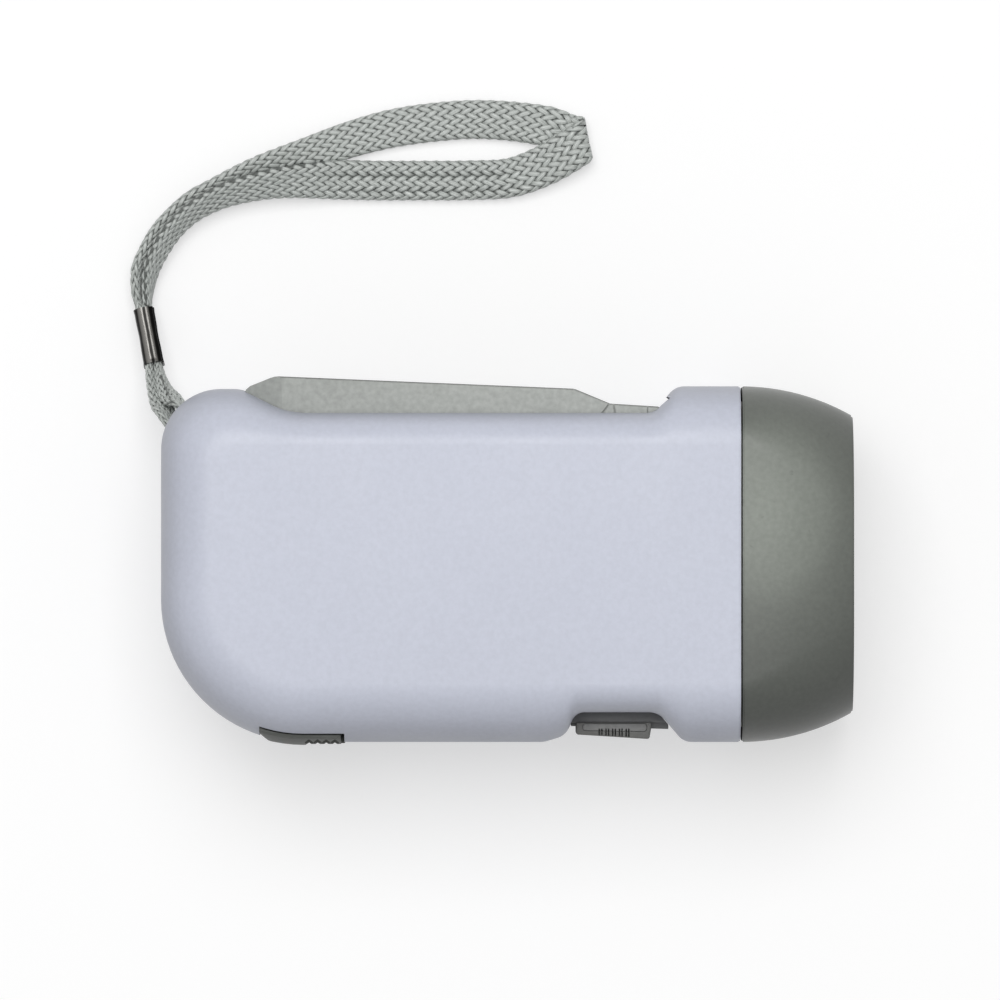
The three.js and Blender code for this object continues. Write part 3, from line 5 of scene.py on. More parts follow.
import bmesh
import bpy
import numpy as np
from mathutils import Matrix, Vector


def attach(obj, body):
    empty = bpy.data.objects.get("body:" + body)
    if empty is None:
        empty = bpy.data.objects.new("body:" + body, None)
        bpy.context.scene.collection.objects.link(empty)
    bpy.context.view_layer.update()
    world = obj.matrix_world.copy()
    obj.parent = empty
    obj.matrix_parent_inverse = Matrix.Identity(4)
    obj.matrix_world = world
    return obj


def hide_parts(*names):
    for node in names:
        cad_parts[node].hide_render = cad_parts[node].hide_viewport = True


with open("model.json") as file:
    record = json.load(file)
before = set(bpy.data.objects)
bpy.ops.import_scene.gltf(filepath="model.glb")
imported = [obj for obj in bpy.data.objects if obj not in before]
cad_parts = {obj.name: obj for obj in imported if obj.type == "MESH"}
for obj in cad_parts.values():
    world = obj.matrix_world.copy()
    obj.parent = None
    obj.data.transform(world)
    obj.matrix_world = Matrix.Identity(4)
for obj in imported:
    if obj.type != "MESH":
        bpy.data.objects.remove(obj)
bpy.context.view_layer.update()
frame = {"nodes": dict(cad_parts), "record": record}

# Sizes are in millimetres times mm. The flashlight lies on its broad side, +X points out of the lens, +Y to the lever.
mm = 0.001
wall = 2 * mm
fit_gap = 0.3 * mm
overrun = 6 * mm
far = 200 * mm
weld_reach = 0.002 * mm
least_radius = 0.01 * mm

case_length = 105 * mm
case_width = 54 * mm
case_height = 38 * mm
tail_x = -case_length / 2
front_x = case_length / 2
head_length = 17 * mm
seam_x = front_x - head_length
side_y = case_width / 2
mid_z = case_height / 2
edge_inset = 9 * mm
tail_inset = 8 * mm
flat_y = side_y - edge_inset
edge_drop_share = 1.444
edge_steps = 18
arc_step = math.radians(4)

pin_x = seam_x - 11 * mm
pin_y = side_y - 9 * mm
lever_low = mid_z - 12 * mm
lever_high = mid_z + 12 * mm


def placed(name, data):
    obj = bpy.data.objects.new(name, data)
    bpy.context.scene.collection.objects.link(obj)
    return obj


# Camera, straight above the broad side

photo_pixels = 1000
case_pixels = 690
photo_scale = case_length / case_pixels
origin_pixel = (507, 564)
lens_length = 600
sensor_width = 36


def make_camera():
    data = bpy.data.cameras.new("camera")
    data.lens = lens_length
    data.sensor_width = sensor_width
    camera = placed("camera", data)
    distance = photo_scale * photo_pixels * lens_length / sensor_width
    x = (photo_pixels / 2 - origin_pixel[0]) * photo_scale
    y = (origin_pixel[1] - photo_pixels / 2) * photo_scale
    camera.location = (x, y, mid_z + distance)
    data.clip_start = distance / 100
    data.clip_end = distance * 10
    bpy.context.scene.camera = camera


make_camera()


# Meshes

def metres(points):
    """Points that are written in millimetres."""
    return [tuple(c * mm for c in point) for point in points]


def around(x, y, rows):
    """Points in millimetres from a place, with their other columns."""
    return [(x + a * mm, y + b * mm, *(c * mm for c in rest)) for a, b, *rest in rows]


@contextmanager
def edited(mesh):
    """A mesh opened for changes, which are written back at the end."""
    bm = bmesh.new()
    bm.from_mesh(mesh)
    yield bm
    bm.to_mesh(mesh)
    bm.free()


def loft(rings):
    """A closed skin through rings that hold the same number of points."""
    count = len(rings[0])
    vertices = [tuple(point) for ring in rings for point in ring]
    faces = [(low + i, low + (i + 1) % count, low + count + (i + 1) % count, low + count + i)
             for low in range(0, len(vertices) - count, count) for i in range(count)]
    faces.append(tuple(range(count))[::-1])
    faces.append(tuple(range(len(vertices) - count, len(vertices))))
    mesh = bpy.data.meshes.new("loft")
    mesh.from_pydata(vertices, [], faces)
    with edited(mesh) as bm:
        bmesh.ops.remove_doubles(bm, verts=bm.verts, dist=weld_reach)
        bmesh.ops.dissolve_degenerate(bm, edges=bm.edges, dist=weld_reach)
        bmesh.ops.recalc_face_normals(bm, faces=bm.faces)
    return mesh


def slab(points, z0, z1):
    return loft([[(x, y, z) for x, y in points] for z in (z0, z1)])


def block(x0, x1, y0, y1, z0=-far, z1=far):
    return slab([(x0, y0), (x1, y0), (x1, y1), (x0, y1)], z0, z1)


def mid_block(x0, x1, y0, y1, half):
    """A block that reaches as far below the parting plane as above it."""
    return block(x0, x1, y0, y1, mid_z - half, mid_z + half)


def circle(radius, sides=48):
    return [(radius * math.cos(2 * math.pi * k / sides), radius * math.sin(2 * math.pi * k / sides))
            for k in range(sides)]


def rod_z(radius, centre, z0, z1):
    return slab([(centre[0] + x, centre[1] + y) for x, y in circle(radius)], z0, z1)


def turned_z(profile, centre, sides):
    """A closed profile of (height, radius) points turned about an upright line."""
    return loft([[(centre[0] + x, centre[1] + y, z) for x, y in circle(max(radius, least_radius), sides)]
                 for z, radius in profile])


def turned_x(profile, y, z, sides=48):
    """A closed profile of (x, radius) points turned about a line along X."""
    return loft([[(along, y + a, z + b) for a, b in circle(max(radius, least_radius), sides)]
                 for along, radius in profile])


def baked(obj, *helpers):
    """The mesh of a scratch object after its modifiers. The object and its helpers are removed."""
    bpy.context.view_layer.update()
    mesh = bpy.data.meshes.new_from_object(obj.evaluated_get(bpy.context.evaluated_depsgraph_get()))
    for spent in (obj, *helpers):
        bpy.data.objects.remove(spent)
    return mesh


def combine(mesh, operation, *tools):
    for tool_mesh in tools:
        obj = placed("scratch", mesh)
        tool = placed("scratch", tool_mesh)
        modifier = obj.modifiers.new("combine", "BOOLEAN")
        modifier.operation = operation
        modifier.solver = "MANIFOLD"
        modifier.object = tool
        mesh = baked(obj, tool)
    return mesh


def joined(mesh, *others):
    return combine(mesh, "UNION", *others)


def cut(mesh, *tools):
    return combine(mesh, "DIFFERENCE", *tools)


def common(mesh, other):
    return combine(mesh, "INTERSECT", other)


def ease_edges(obj, width, angle):
    """Rounds an object's edges that are sharper than an angle in degrees."""
    modifier = obj.modifiers.new("eased", "BEVEL")
    modifier.width = width
    modifier.segments = 2
    modifier.limit_method = "ANGLE"
    modifier.angle_limit = math.radians(angle)


def eased(mesh, width, angle):
    obj = placed("scratch", mesh)
    ease_edges(obj, width, angle)
    return baked(obj)


def smooth(mesh, angle):
    """Shades a mesh smooth, but for the edges where its faces meet at more than an angle."""
    with edited(mesh) as bm:
        for face in bm.faces:
            face.smooth = True
        for edge in bm.edges:
            edge.smooth = edge.is_manifold and edge.calc_face_angle(math.pi) < math.radians(angle)
    if "custom_normal" in mesh.attributes:
        mesh.attributes.remove(mesh.attributes["custom_normal"])


def declare(obj, body, slot, *nodes):
    """Attaches a piece to the body it rides on and hides the CAD nodes that it stands for. Its slot is not used."""
    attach(obj, body)
    if nodes:
        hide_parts(*nodes)
    return obj


def add_piece(name, mesh, body, slot, material, *nodes, angle=40):
    mesh.name = name
    mesh.materials.clear()
    mesh.materials.append(material)
    smooth(mesh, angle)
    return declare(placed(name, mesh), body, slot, *nodes)


# Outlines

def spun(point, angle, centre):
    """A point turned about a centre."""
    x, y = point[0] - centre[0], point[1] - centre[1]
    return np.array([centre[0] + (x * math.cos(angle) - y * math.sin(angle)),
                     centre[1] + (x * math.sin(angle) + y * math.cos(angle))])


def rounded_loop(corners, step=arc_step, grow=0.0):
    """A polygon of (x, y, radius) corners, walked anticlockwise, moved outwards by grow, with its corners rounded."""
    sharp = np.array([corner[:2] for corner in corners], float)
    count = len(corners)
    loop = []
    for i, (*_, radius) in enumerate(corners):
        here = sharp[i]
        back = sharp[i - 1] - here
        ahead = sharp[(i + 1) % count] - here
        back /= np.linalg.norm(back)
        ahead /= np.linalg.norm(ahead)
        first = np.array([-back[1], back[0]])
        second = np.array([ahead[1], -ahead[0]])
        bulges = ahead[0] * back[1] - ahead[1] * back[0] > 0
        lean = (first + second) / (1 + first.dot(second))
        here = here + lean * grow
        size = max(radius + (grow if bulges else -grow), 0) if radius else 0
        half = math.acos(max(-1, min(1, back.dot(ahead)))) / 2
        if not radius:
            loop.append(here)
            continue
        middle = back + ahead
        middle = here + middle / np.linalg.norm(middle) * size / math.sin(half)
        start = here + back * size / math.tan(half)
        sweep = (math.pi - 2 * half) * (1 if bulges else -1)
        steps = max(1, round(abs(sweep) / step))
        loop += [spun(start, sweep * k / steps, middle) for k in range(steps + 1)]
    return np.array(loop)


def divided(loop, longest):
    """A loop with its long sides divided into shorter ones."""
    points = []
    for i, point in enumerate(loop):
        after = loop[(i + 1) % len(loop)]
        pieces = max(1, math.ceil(np.linalg.norm(after - point) / longest))
        points += [point + (after - point) * k / pieces for k in range(pieces)]
    return np.array(points)


def inset(loop, distance):
    """A loop with its points moved inwards."""
    before = loop - np.roll(loop, 1, 0)
    after = np.roll(loop, -1, 0) - loop
    before /= np.linalg.norm(before, axis=1)[:, None]
    after /= np.linalg.norm(after, axis=1)[:, None]
    normal = np.column_stack([-before[:, 1] - after[:, 1], before[:, 0] + after[:, 0]])
    normal /= np.linalg.norm(normal, axis=1)[:, None]
    lean = np.maximum(-normal[:, 0] * before[:, 1] + normal[:, 1] * before[:, 0], 0.5)
    return loop + normal * (distance / lean)[:, None]


def nearest_on_loop(points, loop):
    """The spot on a loop that is nearest to each point."""
    start = loop[None]
    along = (np.roll(loop, -1, 0) - loop)[None]
    t = ((points[:, None] - start) * along).sum(2) / (along ** 2).sum(2)
    spots = start + along * np.clip(t, 0, 1)[:, :, None]
    best = np.linalg.norm(spots - points[:, None], axis=2).argmin(1)
    return spots[np.arange(len(points)), best]


# Case outline, seen on its broad side

grip_y = side_y - 4.05 * mm
hump_x = tail_x + 12.3 * mm
hump_y = side_y - 0.4 * mm
tail_corner = 9.1 * mm
collar_x = seam_x - 9.9 * mm
pocket_y = -side_y + 4.6 * mm
pocket_x1 = seam_x - 12.6 * mm
pocket_x0 = pocket_x1 - 12.5 * mm
case_corners = [
    (tail_x, -side_y, 21.6 * mm),
    (pocket_x0 - 4.8 * mm, -side_y, 4 * mm),
    (pocket_x0 - 1.5 * mm, -side_y + 1 * mm, 2.9 * mm),
    (pocket_x0, pocket_y, 2 * mm),
    (pocket_x1, pocket_y, 3.2 * mm),
    (seam_x - 8.7 * mm, -side_y, 2.7 * mm),
    (seam_x + edge_inset, -side_y, 0),
    (seam_x + edge_inset, side_y, 0),
    (collar_x, side_y, 2.6 * mm),
    (collar_x - 3.3 * mm, grip_y, 2.6 * mm),
    (hump_x + 7 * mm, grip_y, 12 * mm),
    (hump_x, hump_y, 5 * mm),
    (tail_x, hump_y, tail_corner),
]
flat_corners = [
    (tail_x + tail_inset, -flat_y, 13.6 * mm),
    (seam_x + edge_inset - wall, -flat_y, 0),
    (seam_x + edge_inset - wall, flat_y, 0),
    (tail_x + tail_inset, flat_y, 3.5 * mm),
]
case_rim = divided(rounded_loop(case_corners), 2 * mm)
case_flat = nearest_on_loop(case_rim, divided(rounded_loop(flat_corners), 2 * mm))


def case_block(depth):
    """The case's rounded block, made smaller all round by a depth."""
    moved = inset(case_rim, depth)
    drop = np.linalg.norm(case_flat - case_rim, axis=1) * edge_drop_share
    rings = []
    for k in range(edge_steps + 1):
        turn = math.pi / 2 * k / edge_steps
        spots = case_flat + (moved - case_flat) * math.sin(turn)
        heights = case_height - depth - (drop - depth) * (1 - math.cos(turn))
        rings.append(np.column_stack([spots, heights]))
    lower = [np.column_stack([ring[:, :2], case_height - ring[:, 2]]) for ring in reversed(rings)]
    return loft(rings + lower)


# Head sections

head_side_drop = 4.5 * mm
head_top_drop = 3 * mm
head_corner = 16 * mm


def head_section(x, depth, corner_steps=18):
    """The rounded box that the head is at a place along X, made smaller by a depth."""
    share = max(0, (x - seam_x) / head_length)

    def curve(drop):
        radius = (head_length ** 2 + drop ** 2) / (2 * drop)
        return radius - math.sqrt(radius ** 2 - (head_length * share) ** 2)

    half_width = side_y - curve(head_side_drop)
    half_height = mid_z - curve(head_top_drop)
    corner_width = edge_inset + (head_corner - edge_inset) * share
    corner_height = edge_inset * edge_drop_share
    ring = []
    for quarter in range(4):
        sign_y = 1 if quarter in (0, 3) else -1
        sign_z = 1 if quarter < 2 else -1
        for k in range(corner_steps + 1):
            turn = math.pi / 2 * (quarter + k / corner_steps)
            y = sign_y * (half_width - corner_width) + (corner_width - depth) * math.cos(turn)
            z = sign_z * (half_height - corner_height) + (corner_height - depth) * math.sin(turn)
            ring.append((x, y, mid_z + z))
    return ring


def head_block(x0, x1, depth, steps=20):
    return loft([head_section(x0 + (x1 - x0) * k / steps, depth) for k in range(steps + 1)])


# Materials

mould_grain = 2600
cloud_scale = 1300
speck_scale = 900
speck_range = (0.68, 0.8)
wear_scale = 60
shift_scale = 28
grain_strength = 0.35


def set_inputs(tree, node, inputs):
    """Sets a node's inputs to values, or links them to outputs."""
    for name, value in inputs.items():
        if isinstance(value, bpy.types.NodeSocket):
            tree.links.new(value, node.inputs[name])
        else:
            node.inputs[name].default_value = value


def add_node(tree, kind, inputs=None, **settings):
    node = tree.nodes.new("ShaderNode" + kind)
    for name, value in settings.items():
        setattr(node, name, value)
    set_inputs(tree, node, inputs or {})
    return node


def new_material(name):
    material = bpy.data.materials.new(name)
    material.use_nodes = True
    tree = material.node_tree
    return material, tree, tree.nodes["Principled BSDF"]


def calculated(tree, operation, *values):
    return add_node(tree, "Math", dict(enumerate(values)), operation=operation).outputs[0]


def object_place(tree, **mapping):
    """Places in the object's own frame, moved and scaled."""
    place = add_node(tree, "TexCoord").outputs["Object"]
    return add_node(tree, "Mapping", {**mapping, "Vector": place}).outputs["Vector"]


def noise(tree, scale, detail=2, stretch=(1, 1, 1)):
    return add_node(tree, "TexNoise", {
        "Scale": scale, "Detail": detail, "Vector": object_place(tree, Scale=stretch),
    }).outputs["Fac"]


def ramp(tree, value, low, high, from_low=0.35, from_high=0.65):
    """Turns a value into one that runs from low to high."""
    return add_node(tree, "MapRange", {
        "Value": value, "From Min": from_low, "From Max": from_high, "To Min": low, "To Max": high,
    }).outputs["Result"]


def mixed(tree, factor, first, second, blend="MIX"):
    node = add_node(tree, "Mix", data_type="RGBA", blend_type=blend)
    for name, kind, value in (("A", "RGBA", first), ("B", "RGBA", second), ("Factor", "VALUE", factor)):
        socket = next(i for i in node.inputs if i.name == name and i.type == kind)
        if isinstance(value, bpy.types.NodeSocket):
            tree.links.new(value, socket)
        else:
            socket.default_value = (*value, 1) if kind == "RGBA" else value
    return next(o for o in node.outputs if o.type == "RGBA")


def bump(tree, height, strength, distance):
    return add_node(tree, "Bump", {"Height": height, "Strength": strength, "Distance": distance}).outputs["Normal"]


def graded(tree, value, stops, tint):
    """Turns a share into a tone by stops, with a tint."""
    node = add_node(tree, "ValToRGB", {"Fac": value})
    elements = node.color_ramp.elements
    while len(elements) < len(stops):
        elements.new(0.5)
    for element, (at, tone) in zip(elements, stops):
        element.position = at
        element.color = (*(tone * part for part in tint), 1)
    return node.outputs["Color"]


def shaded(colour, share):
    return tuple(min(1, c * share) for c in colour)


def specked(tree, tone, amount, colour):
    """Fine dust specks of a colour."""
    return mixed(tree, ramp(tree, noise(tree, speck_scale, 4), 0, amount, *speck_range), tone, colour)


def mottled(tree, tone, amount):
    cloud = ramp(tree, noise(tree, cloud_scale, 3), 1 - amount, 1 + amount, 0.3, 0.7)
    grey = add_node(tree, "CombineColor", {channel: cloud for channel in ("Red", "Green", "Blue")})
    return mixed(tree, 1.0, tone, grey.outputs["Color"], "MULTIPLY")


def wall_shade_share(tree, low, high):
    """Turns how upright a surface stands into a share for the painted wall shade: 0 on a level face, 1 on a wall."""
    parts = add_node(tree, "SeparateXYZ", {"Vector": add_node(tree, "NewGeometry").outputs["Normal"]})
    return ramp(tree, calculated(tree, "ABSOLUTE", parts.outputs["Z"]), 1, 0, low, high)


def moulded(tree, shader, tone, rough_low, rough_high, grain=mould_grain, grain_height=0.01 * mm):
    """The grain and the worn gloss that moulded plastic has."""
    set_inputs(tree, shader, {
        "Base Color": tone,
        "Roughness": ramp(tree, noise(tree, wear_scale, 4), rough_low, rough_high),
        "Normal": bump(tree, noise(tree, grain, 3), grain_strength, grain_height),
    })


def plastic(name, colour, roughness, variation=0.04, specks=0.0, speck_tone=0.75, mottle=0.0, wall_shade_tone=1.0,
            wall_shade_run=(0.1, 0.6), **grain):
    """Moulded plastic: fine grain, slow shifts of tone, a few dust specks and painted shade on its upright walls."""
    material, tree, shader = new_material(name)
    tone = mixed(tree, ramp(tree, noise(tree, shift_scale, 3), 0, 1), shaded(colour, 1 - variation),
                 shaded(colour, 1 + variation))
    if specks:
        tone = specked(tree, tone, specks, shaded(colour, speck_tone))
    if mottle:
        tone = mottled(tree, tone, mottle)
    # Painted shade: upright walls are darkened by a tone, the more the steeper they stand.
    if wall_shade_tone < 1:
        tone = mixed(tree, wall_shade_share(tree, *wall_shade_run), tone, (wall_shade_tone,) * 3, "MULTIPLY")
    moulded(tree, shader, tone, roughness * 0.9, roughness * 1.12, **grain)
    return material


def head_plastic():
    """Satin grey plastic with a painted highlight: the base colour is lightest in a broad patch near the seam and
    darker towards the rim and the edges.
    """
    material, tree, shader = new_material("head_plastic")
    narrowing = 1.3
    sheen_x, sheen_y, sheen_reach = seam_x + 4 * mm, 8 * mm, 36 * mm
    away = add_node(tree, "VectorMath", {
        0: object_place(tree, Location=(-narrowing * sheen_x, -sheen_y, 0), Scale=(narrowing, 1, 0)),
    }, operation="LENGTH")
    # Painted highlight: the tone falls off with distance from a spot near the seam.
    sheen = graded(tree, ramp(tree, away.outputs["Value"], 0, 1, 0, sheen_reach), [
        (0.06, 0.25), (0.28, 0.205), (0.42, 0.138), (0.58, 0.102), (0.8, 0.072), (1, 0.06)], (0.94, 1.02, 0.9))
    tone = specked(tree, mottled(tree, sheen, 0.07), 0.35, (0.06, 0.063, 0.058))
    moulded(tree, shader, tone, 0.33, 0.42)
    return material


def metal(name, colour, roughness, stretch=(1, 1, 1), scale=500, depth=0.004 * mm, dark=0.75):
    """Metal with fine drawn marks along one direction."""
    material, tree, shader = new_material(name)
    marks = noise(tree, scale, 4, stretch)
    set_inputs(tree, shader, {
        "Base Color": mixed(tree, ramp(tree, marks, 0, 1), shaded(colour, dark), colour),
        "Roughness": ramp(tree, marks, roughness * 0.8, roughness * 1.3),
        "Metallic": 1,
        "Normal": bump(tree, marks, 0.3, depth),
    })
    return material


def clear_plastic(name, colour, roughness=0.04, ior=1.49):
    material, tree, shader = new_material(name)
    set_inputs(tree, shader, {
        "Base Color": mixed(tree, ramp(tree, noise(tree, 40, 2), 0, 1), shaded(colour, 0.985), colour),
        "Roughness": ramp(tree, noise(tree, 120, 3), roughness * 0.7, roughness * 1.5),
        "IOR": ior,
        "Transmission Weight": 1,
    })
    return material


def yarn_material(name, light, dark):
    """Twisted filaments: fine streaks along each strand, with painted shade where it dips under another, in its creases
    and along the furrow.
    """
    material, tree, shader = new_material(name)
    strand = add_node(tree, "UVMap", uv_map="strand").outputs["UV"]
    along = add_node(tree, "Mapping", {"Scale": (14, 1.6, 1), "Vector": strand}).outputs["Vector"]
    filaments = add_node(tree, "TexNoise", {"Scale": 2.4, "Detail": 3, "Vector": along}).outputs["Fac"]
    crown = add_node(tree, "Attribute", attribute_name="crown").outputs["Fac"]
    tone = mixed(tree, ramp(tree, filaments, 0, 1), dark, light)
    tone = mixed(tree, ramp(tree, noise(tree, 300, 2), 0, 0.35), tone, shaded(light, 0.75))
    # Painted shade: the yarn darkens where the strand dips under another, in its creases and along the furrow.
    tone = mixed(tree, ramp(tree, crown, 1, 0, -0.5, 0.6), tone, shaded(dark, 0.4))
    set_inputs(tree, shader, {
        "Base Color": tone,
        "Roughness": 0.34,
        "Sheen Weight": 0.15,
        "Sheen Roughness": 0.4,
        "Normal": bump(tree, filaments, 0.8, 0.06 * mm),
    })
    return material


def painted_reflection_nickel():
    """Polished dark nickel whose base colour holds painted reflections: light and dark bands along the sleeve that
    stand for its dim surroundings.
    """
    material, tree, shader = new_material("nickel")
    across = calculated(tree, "ADD", add_node(tree, "Attribute", attribute_name="round").outputs["Fac"],
                        ramp(tree, noise(tree, 500, 3), -0.02, 0.02))
    # Painted reflection: tone bands by where a point lies across the sleeve.
    reflection_bands = graded(tree, ramp(tree, across, 0, 1, -1, 1), [
        (0, 0.015), (0.13, 0.012), (0.2, 0.14), (0.3, 0.21), (0.4, 0.16), (0.45, 0.012), (0.56, 0.012), (0.6, 0.12),
        (0.7, 0.12), (0.76, 0.01), (0.84, 0.004), (0.96, 0.004), (1, 0.01)], (1, 0.97, 0.92))
    set_inputs(tree, shader, {
        "Base Color": reflection_bands,
        "Roughness": ramp(tree, noise(tree, 900, 3), 0.16, 0.3),
        "Metallic": 1,
    })
    return material


# The shell, the lever and the button have painted shade on their upright walls. On the lever it paints a dark outline.
shell_plastic = plastic("shell_plastic", (0.58, 0.605, 0.7), 0.42, specks=0.2, speck_tone=0.9, variation=0.012,
                        mottle=0.03, wall_shade_tone=0.68, wall_shade_run=(0, 0.68))
grip_plastic = head_plastic()
lever_plastic = plastic("lever_plastic", (0.375, 0.39, 0.37), 0.58, grain=1400, grain_height=0.03 * mm,
                        variation=0.06, specks=0.5, speck_tone=0.8, mottle=0.11, wall_shade_tone=0.3, wall_shade_run=(0.3, 0.95))
dark_plastic = plastic("dark_plastic", (0.15, 0.152, 0.152), 0.5, variation=0.08, specks=0.3, mottle=0.06)
button_plastic = plastic("button_plastic", (0.125, 0.125, 0.118), 0.48, variation=0.08, specks=0.3, mottle=0.08,
                         wall_shade_tone=0.45)
inlay_plastic = plastic("inlay_plastic", (0.24, 0.24, 0.235), 0.55, variation=0.08, specks=0.4, mottle=0.1)
latch_plastic = plastic("latch_plastic", (0.06, 0.064, 0.058), 0.5, variation=0.08, specks=0.3, mottle=0.06)
gear_plastic = plastic("gear_plastic", (0.82, 0.81, 0.76), 0.38, variation=0.02)
steel = metal("steel", (0.62, 0.63, 0.65), 0.3, stretch=(1, 8, 1))
spring_steel = metal("spring_steel", (0.5, 0.5, 0.5), 0.28, scale=900)
chrome = metal("chrome", (0.9, 0.91, 0.92), 0.07, scale=200, dark=0.97, depth=0.001 * mm)
nickel = painted_reflection_nickel()
board_green = plastic("board_green", (0.03, 0.16, 0.07), 0.35, variation=0.1)
enamel = metal("enamel", (0.62, 0.24, 0.09), 0.3, scale=800)
ferrite = plastic("ferrite", (0.06, 0.06, 0.065), 0.5, variation=0.1)
red_sleeve = plastic("red_sleeve", (0.5, 0.05, 0.04), 0.4)
clear_lens = clear_plastic("clear_lens", (0.97, 0.985, 0.99))
led_resin = clear_plastic("led_resin", (0.95, 0.95, 0.9), 0.06, 1.53)
braid_yarn = yarn_material("braid_yarn", (0.69, 0.722, 0.695), (0.3, 0.325, 0.305))
# The strap's core is dark to paint the shade seen in the gaps between the strands.
braid_shade_core = plastic("braid_shade_core", (0.12, 0.13, 0.12), 0.8)


# Wrist strap

# Centre line of the strap: out of the tail corner, down to the table, round the loop and back.
strap_width = 6 * mm
# The braid's two strands as they lie in the photo: x, y, z, lean from flat in degrees and width, in millimetres.
# Where the height is lower than the braid can lie, it lies on the table.
outer_strand = [
    (-48.7, 20.2, 15.9, 90, 2.6), (-50.1, 19.9, 15.8, 90, 2.6), (-51.5, 21.3, 14.8, 75, 2.6),
    (-52.45, 23.7, 12, 32, 3.3), (-53.55, 26.9, 8, 45, 2.9), (-54.6, 30.3, 4.9, 84, 2.6), (-55.4, 34.5, 3.8, 90, 2.5),
    (-56.2, 38.7, 2.7, 89, 2.7), (-56.65, 42.2, 0, 78, 3.4), (-56.25, 45.3, 0, 64, 3.5),
    (-55.25, 47.25, 0, 58, 3.7), (-53.3, 50.4, 0, 52, 3.9), (-50.65, 53.3, 0, 50, 4), (-47.85, 55.55, 0, 48, 4.2),
    (-45.25, 56.8, 0, 44, 4.4), (-38.7, 59.75, 0, 34, 4.9), (-30.8, 62.6, 0, 16, 4.9),
    (-24.1, 64.95, 0, 5, 5.1), (-17.95, 66.6, 0, 0, 5.4), (-11.5, 67.6, 0, 0, 5.5), (-5, 68.05, 0, 0, 5.5),
    (0.95, 67.75, 0, 0, 5.6), (6.6, 66.85, 0, 0, 5.8),
]
inner_strand = [
    (5.85, 61.05, 2, 0, 5.8), (0.65, 59.15, 1.4, 0, 5.6), (-5.5, 58.75, 1, 0, 5.6), (-13.2, 58.7, 1, 0, 5.6),
    (-20.1, 58.7, 1.1, 0, 5.6), (-25.5, 58.8, 1.6, 6, 5.6), (-31.9, 58.6, 3.1, 20, 5), (-36, 58.2, 3.6, 30, 4.7),
    (-41.25, 57.05, 3.8, 40, 4.4), (-44.8, 55.75, 3.9, 45, 4.1), (-48.65, 53.45, 3.9, 50, 3.8),
    (-51.35, 50.8, 3.9, 52, 3.8), (-53.15, 48, 3.8, 54, 3.7), (-54.3, 45.4, 3.5, 58, 3.4),
    (-54.8, 43.1, 3.1, 68, 3.1), (-55.05, 40.6, 2.8, 80, 2.8), (-54.95, 38.8, 2.7, 90, 2.7),
    (-54.15, 34.6, 3.8, 90, 2.5), (-53.35, 30.4, 4.9, 86, 2.5), (-52.5, 27.5, 8, 62, 2.6),
    (-51.15, 25.1, 12.2, 40, 3), (-49.7, 23.9, 15, 90, 2.6), (-47.6, 22.7, 15.8, 90, 2.6),
    (-47.5, 21.4, 15.9, 90, 2.6),
]
braid_thickness = 1.05 * mm
full_width = 4 * mm
narrow_thickness = 0.68 * mm
narrow_width = 2.6 * mm
fold_thickness = 0.8 * mm
fold_narrowing = 0.05
fold_pinch = 0.02
fold_round = 0.2 * mm
fold_press = 0.85
braid_strands = 16
braid_pitch = 28 * mm
strand_step = 0.3 * mm
strand_thickness = 0.34 * mm
strand_fill_share = 1.2
strand_sides = 6
strand_dip = 0.13 * mm
strand_narrowing = 0.24
strand_shift = 0.37
core_inset = 0.4 * mm
core_sides = 20
core_step = 4
easing_rows = 3
table_gap = 0.55 * mm
fold_line = ((10.3, 68.8), (11.7, 62))
fold_heading = (0.983, -0.183)
fold_radius = 0.85 * mm
fold_leave = 2 * mm
crease_run = (-30 * mm, 4 * mm)
crease_fade = 6 * mm
crease_side = 62 * mm
crease_shade = 0.5 * mm
creases = ((0.7 * mm, 0.36 * mm), (-1.6 * mm, 0.3 * mm))
crease_width = 0.32 * mm
furrow_end = -28 * mm
furrow_side = 37 * mm
furrow_shade = 0.08 * mm
furrow_width = 0.15 * mm
furrow_depth = 0.2 * mm
legs_gap = ((-52.9, 28.6, 0), (-52.4, 27.2, 0), (-51.7, 25.7, 0), (-51, 24.3, 0), (-50.2, 22.8, 0))


def between(t, t0, t1, first, last):
    return (t1 - t) / (t1 - t0) * first + (t - t0) / (t1 - t0) * last


def curve_points(points, step):
    """Centripetal curve through points, as even steps. Columns after the third are carried along evenly."""
    points = np.array(points, float)
    padded = np.vstack([points[0] * 2 - points[1], points, points[-1] * 2 - points[-2]])
    levels = (((0, 1), (1, 2), (2, 3)), ((0, 2), (1, 3)), ((1, 2),))
    fine = []
    for i in range(len(points) - 1):
        four = padded[i:i + 4]
        knots = np.cumsum([0, *np.linalg.norm(np.diff(four[:, :3], axis=0), axis=1) ** 0.5])
        for share in np.linspace(0, 1, 24, endpoint=False):
            t = knots[1] + (knots[2] - knots[1]) * share
            row = list(four)
            for spans in levels:
                row = [between(t, knots[a], knots[b], *ends) for (a, b), *ends in zip(spans, row, row[1:])]
            fine.append(row[0])
    fine = np.array(fine + [points[-1]])
    run = np.concatenate([[0], np.cumsum(np.linalg.norm(np.diff(fine[:, :3], axis=0), axis=1))])
    even = np.linspace(0, run[-1], max(2, round(run[-1] / step)))
    return np.column_stack([np.interp(even, run, fine[:, k]) for k in range(fine.shape[1])])


def unit(vectors):
    return vectors / np.linalg.norm(vectors, axis=-1, keepdims=True)


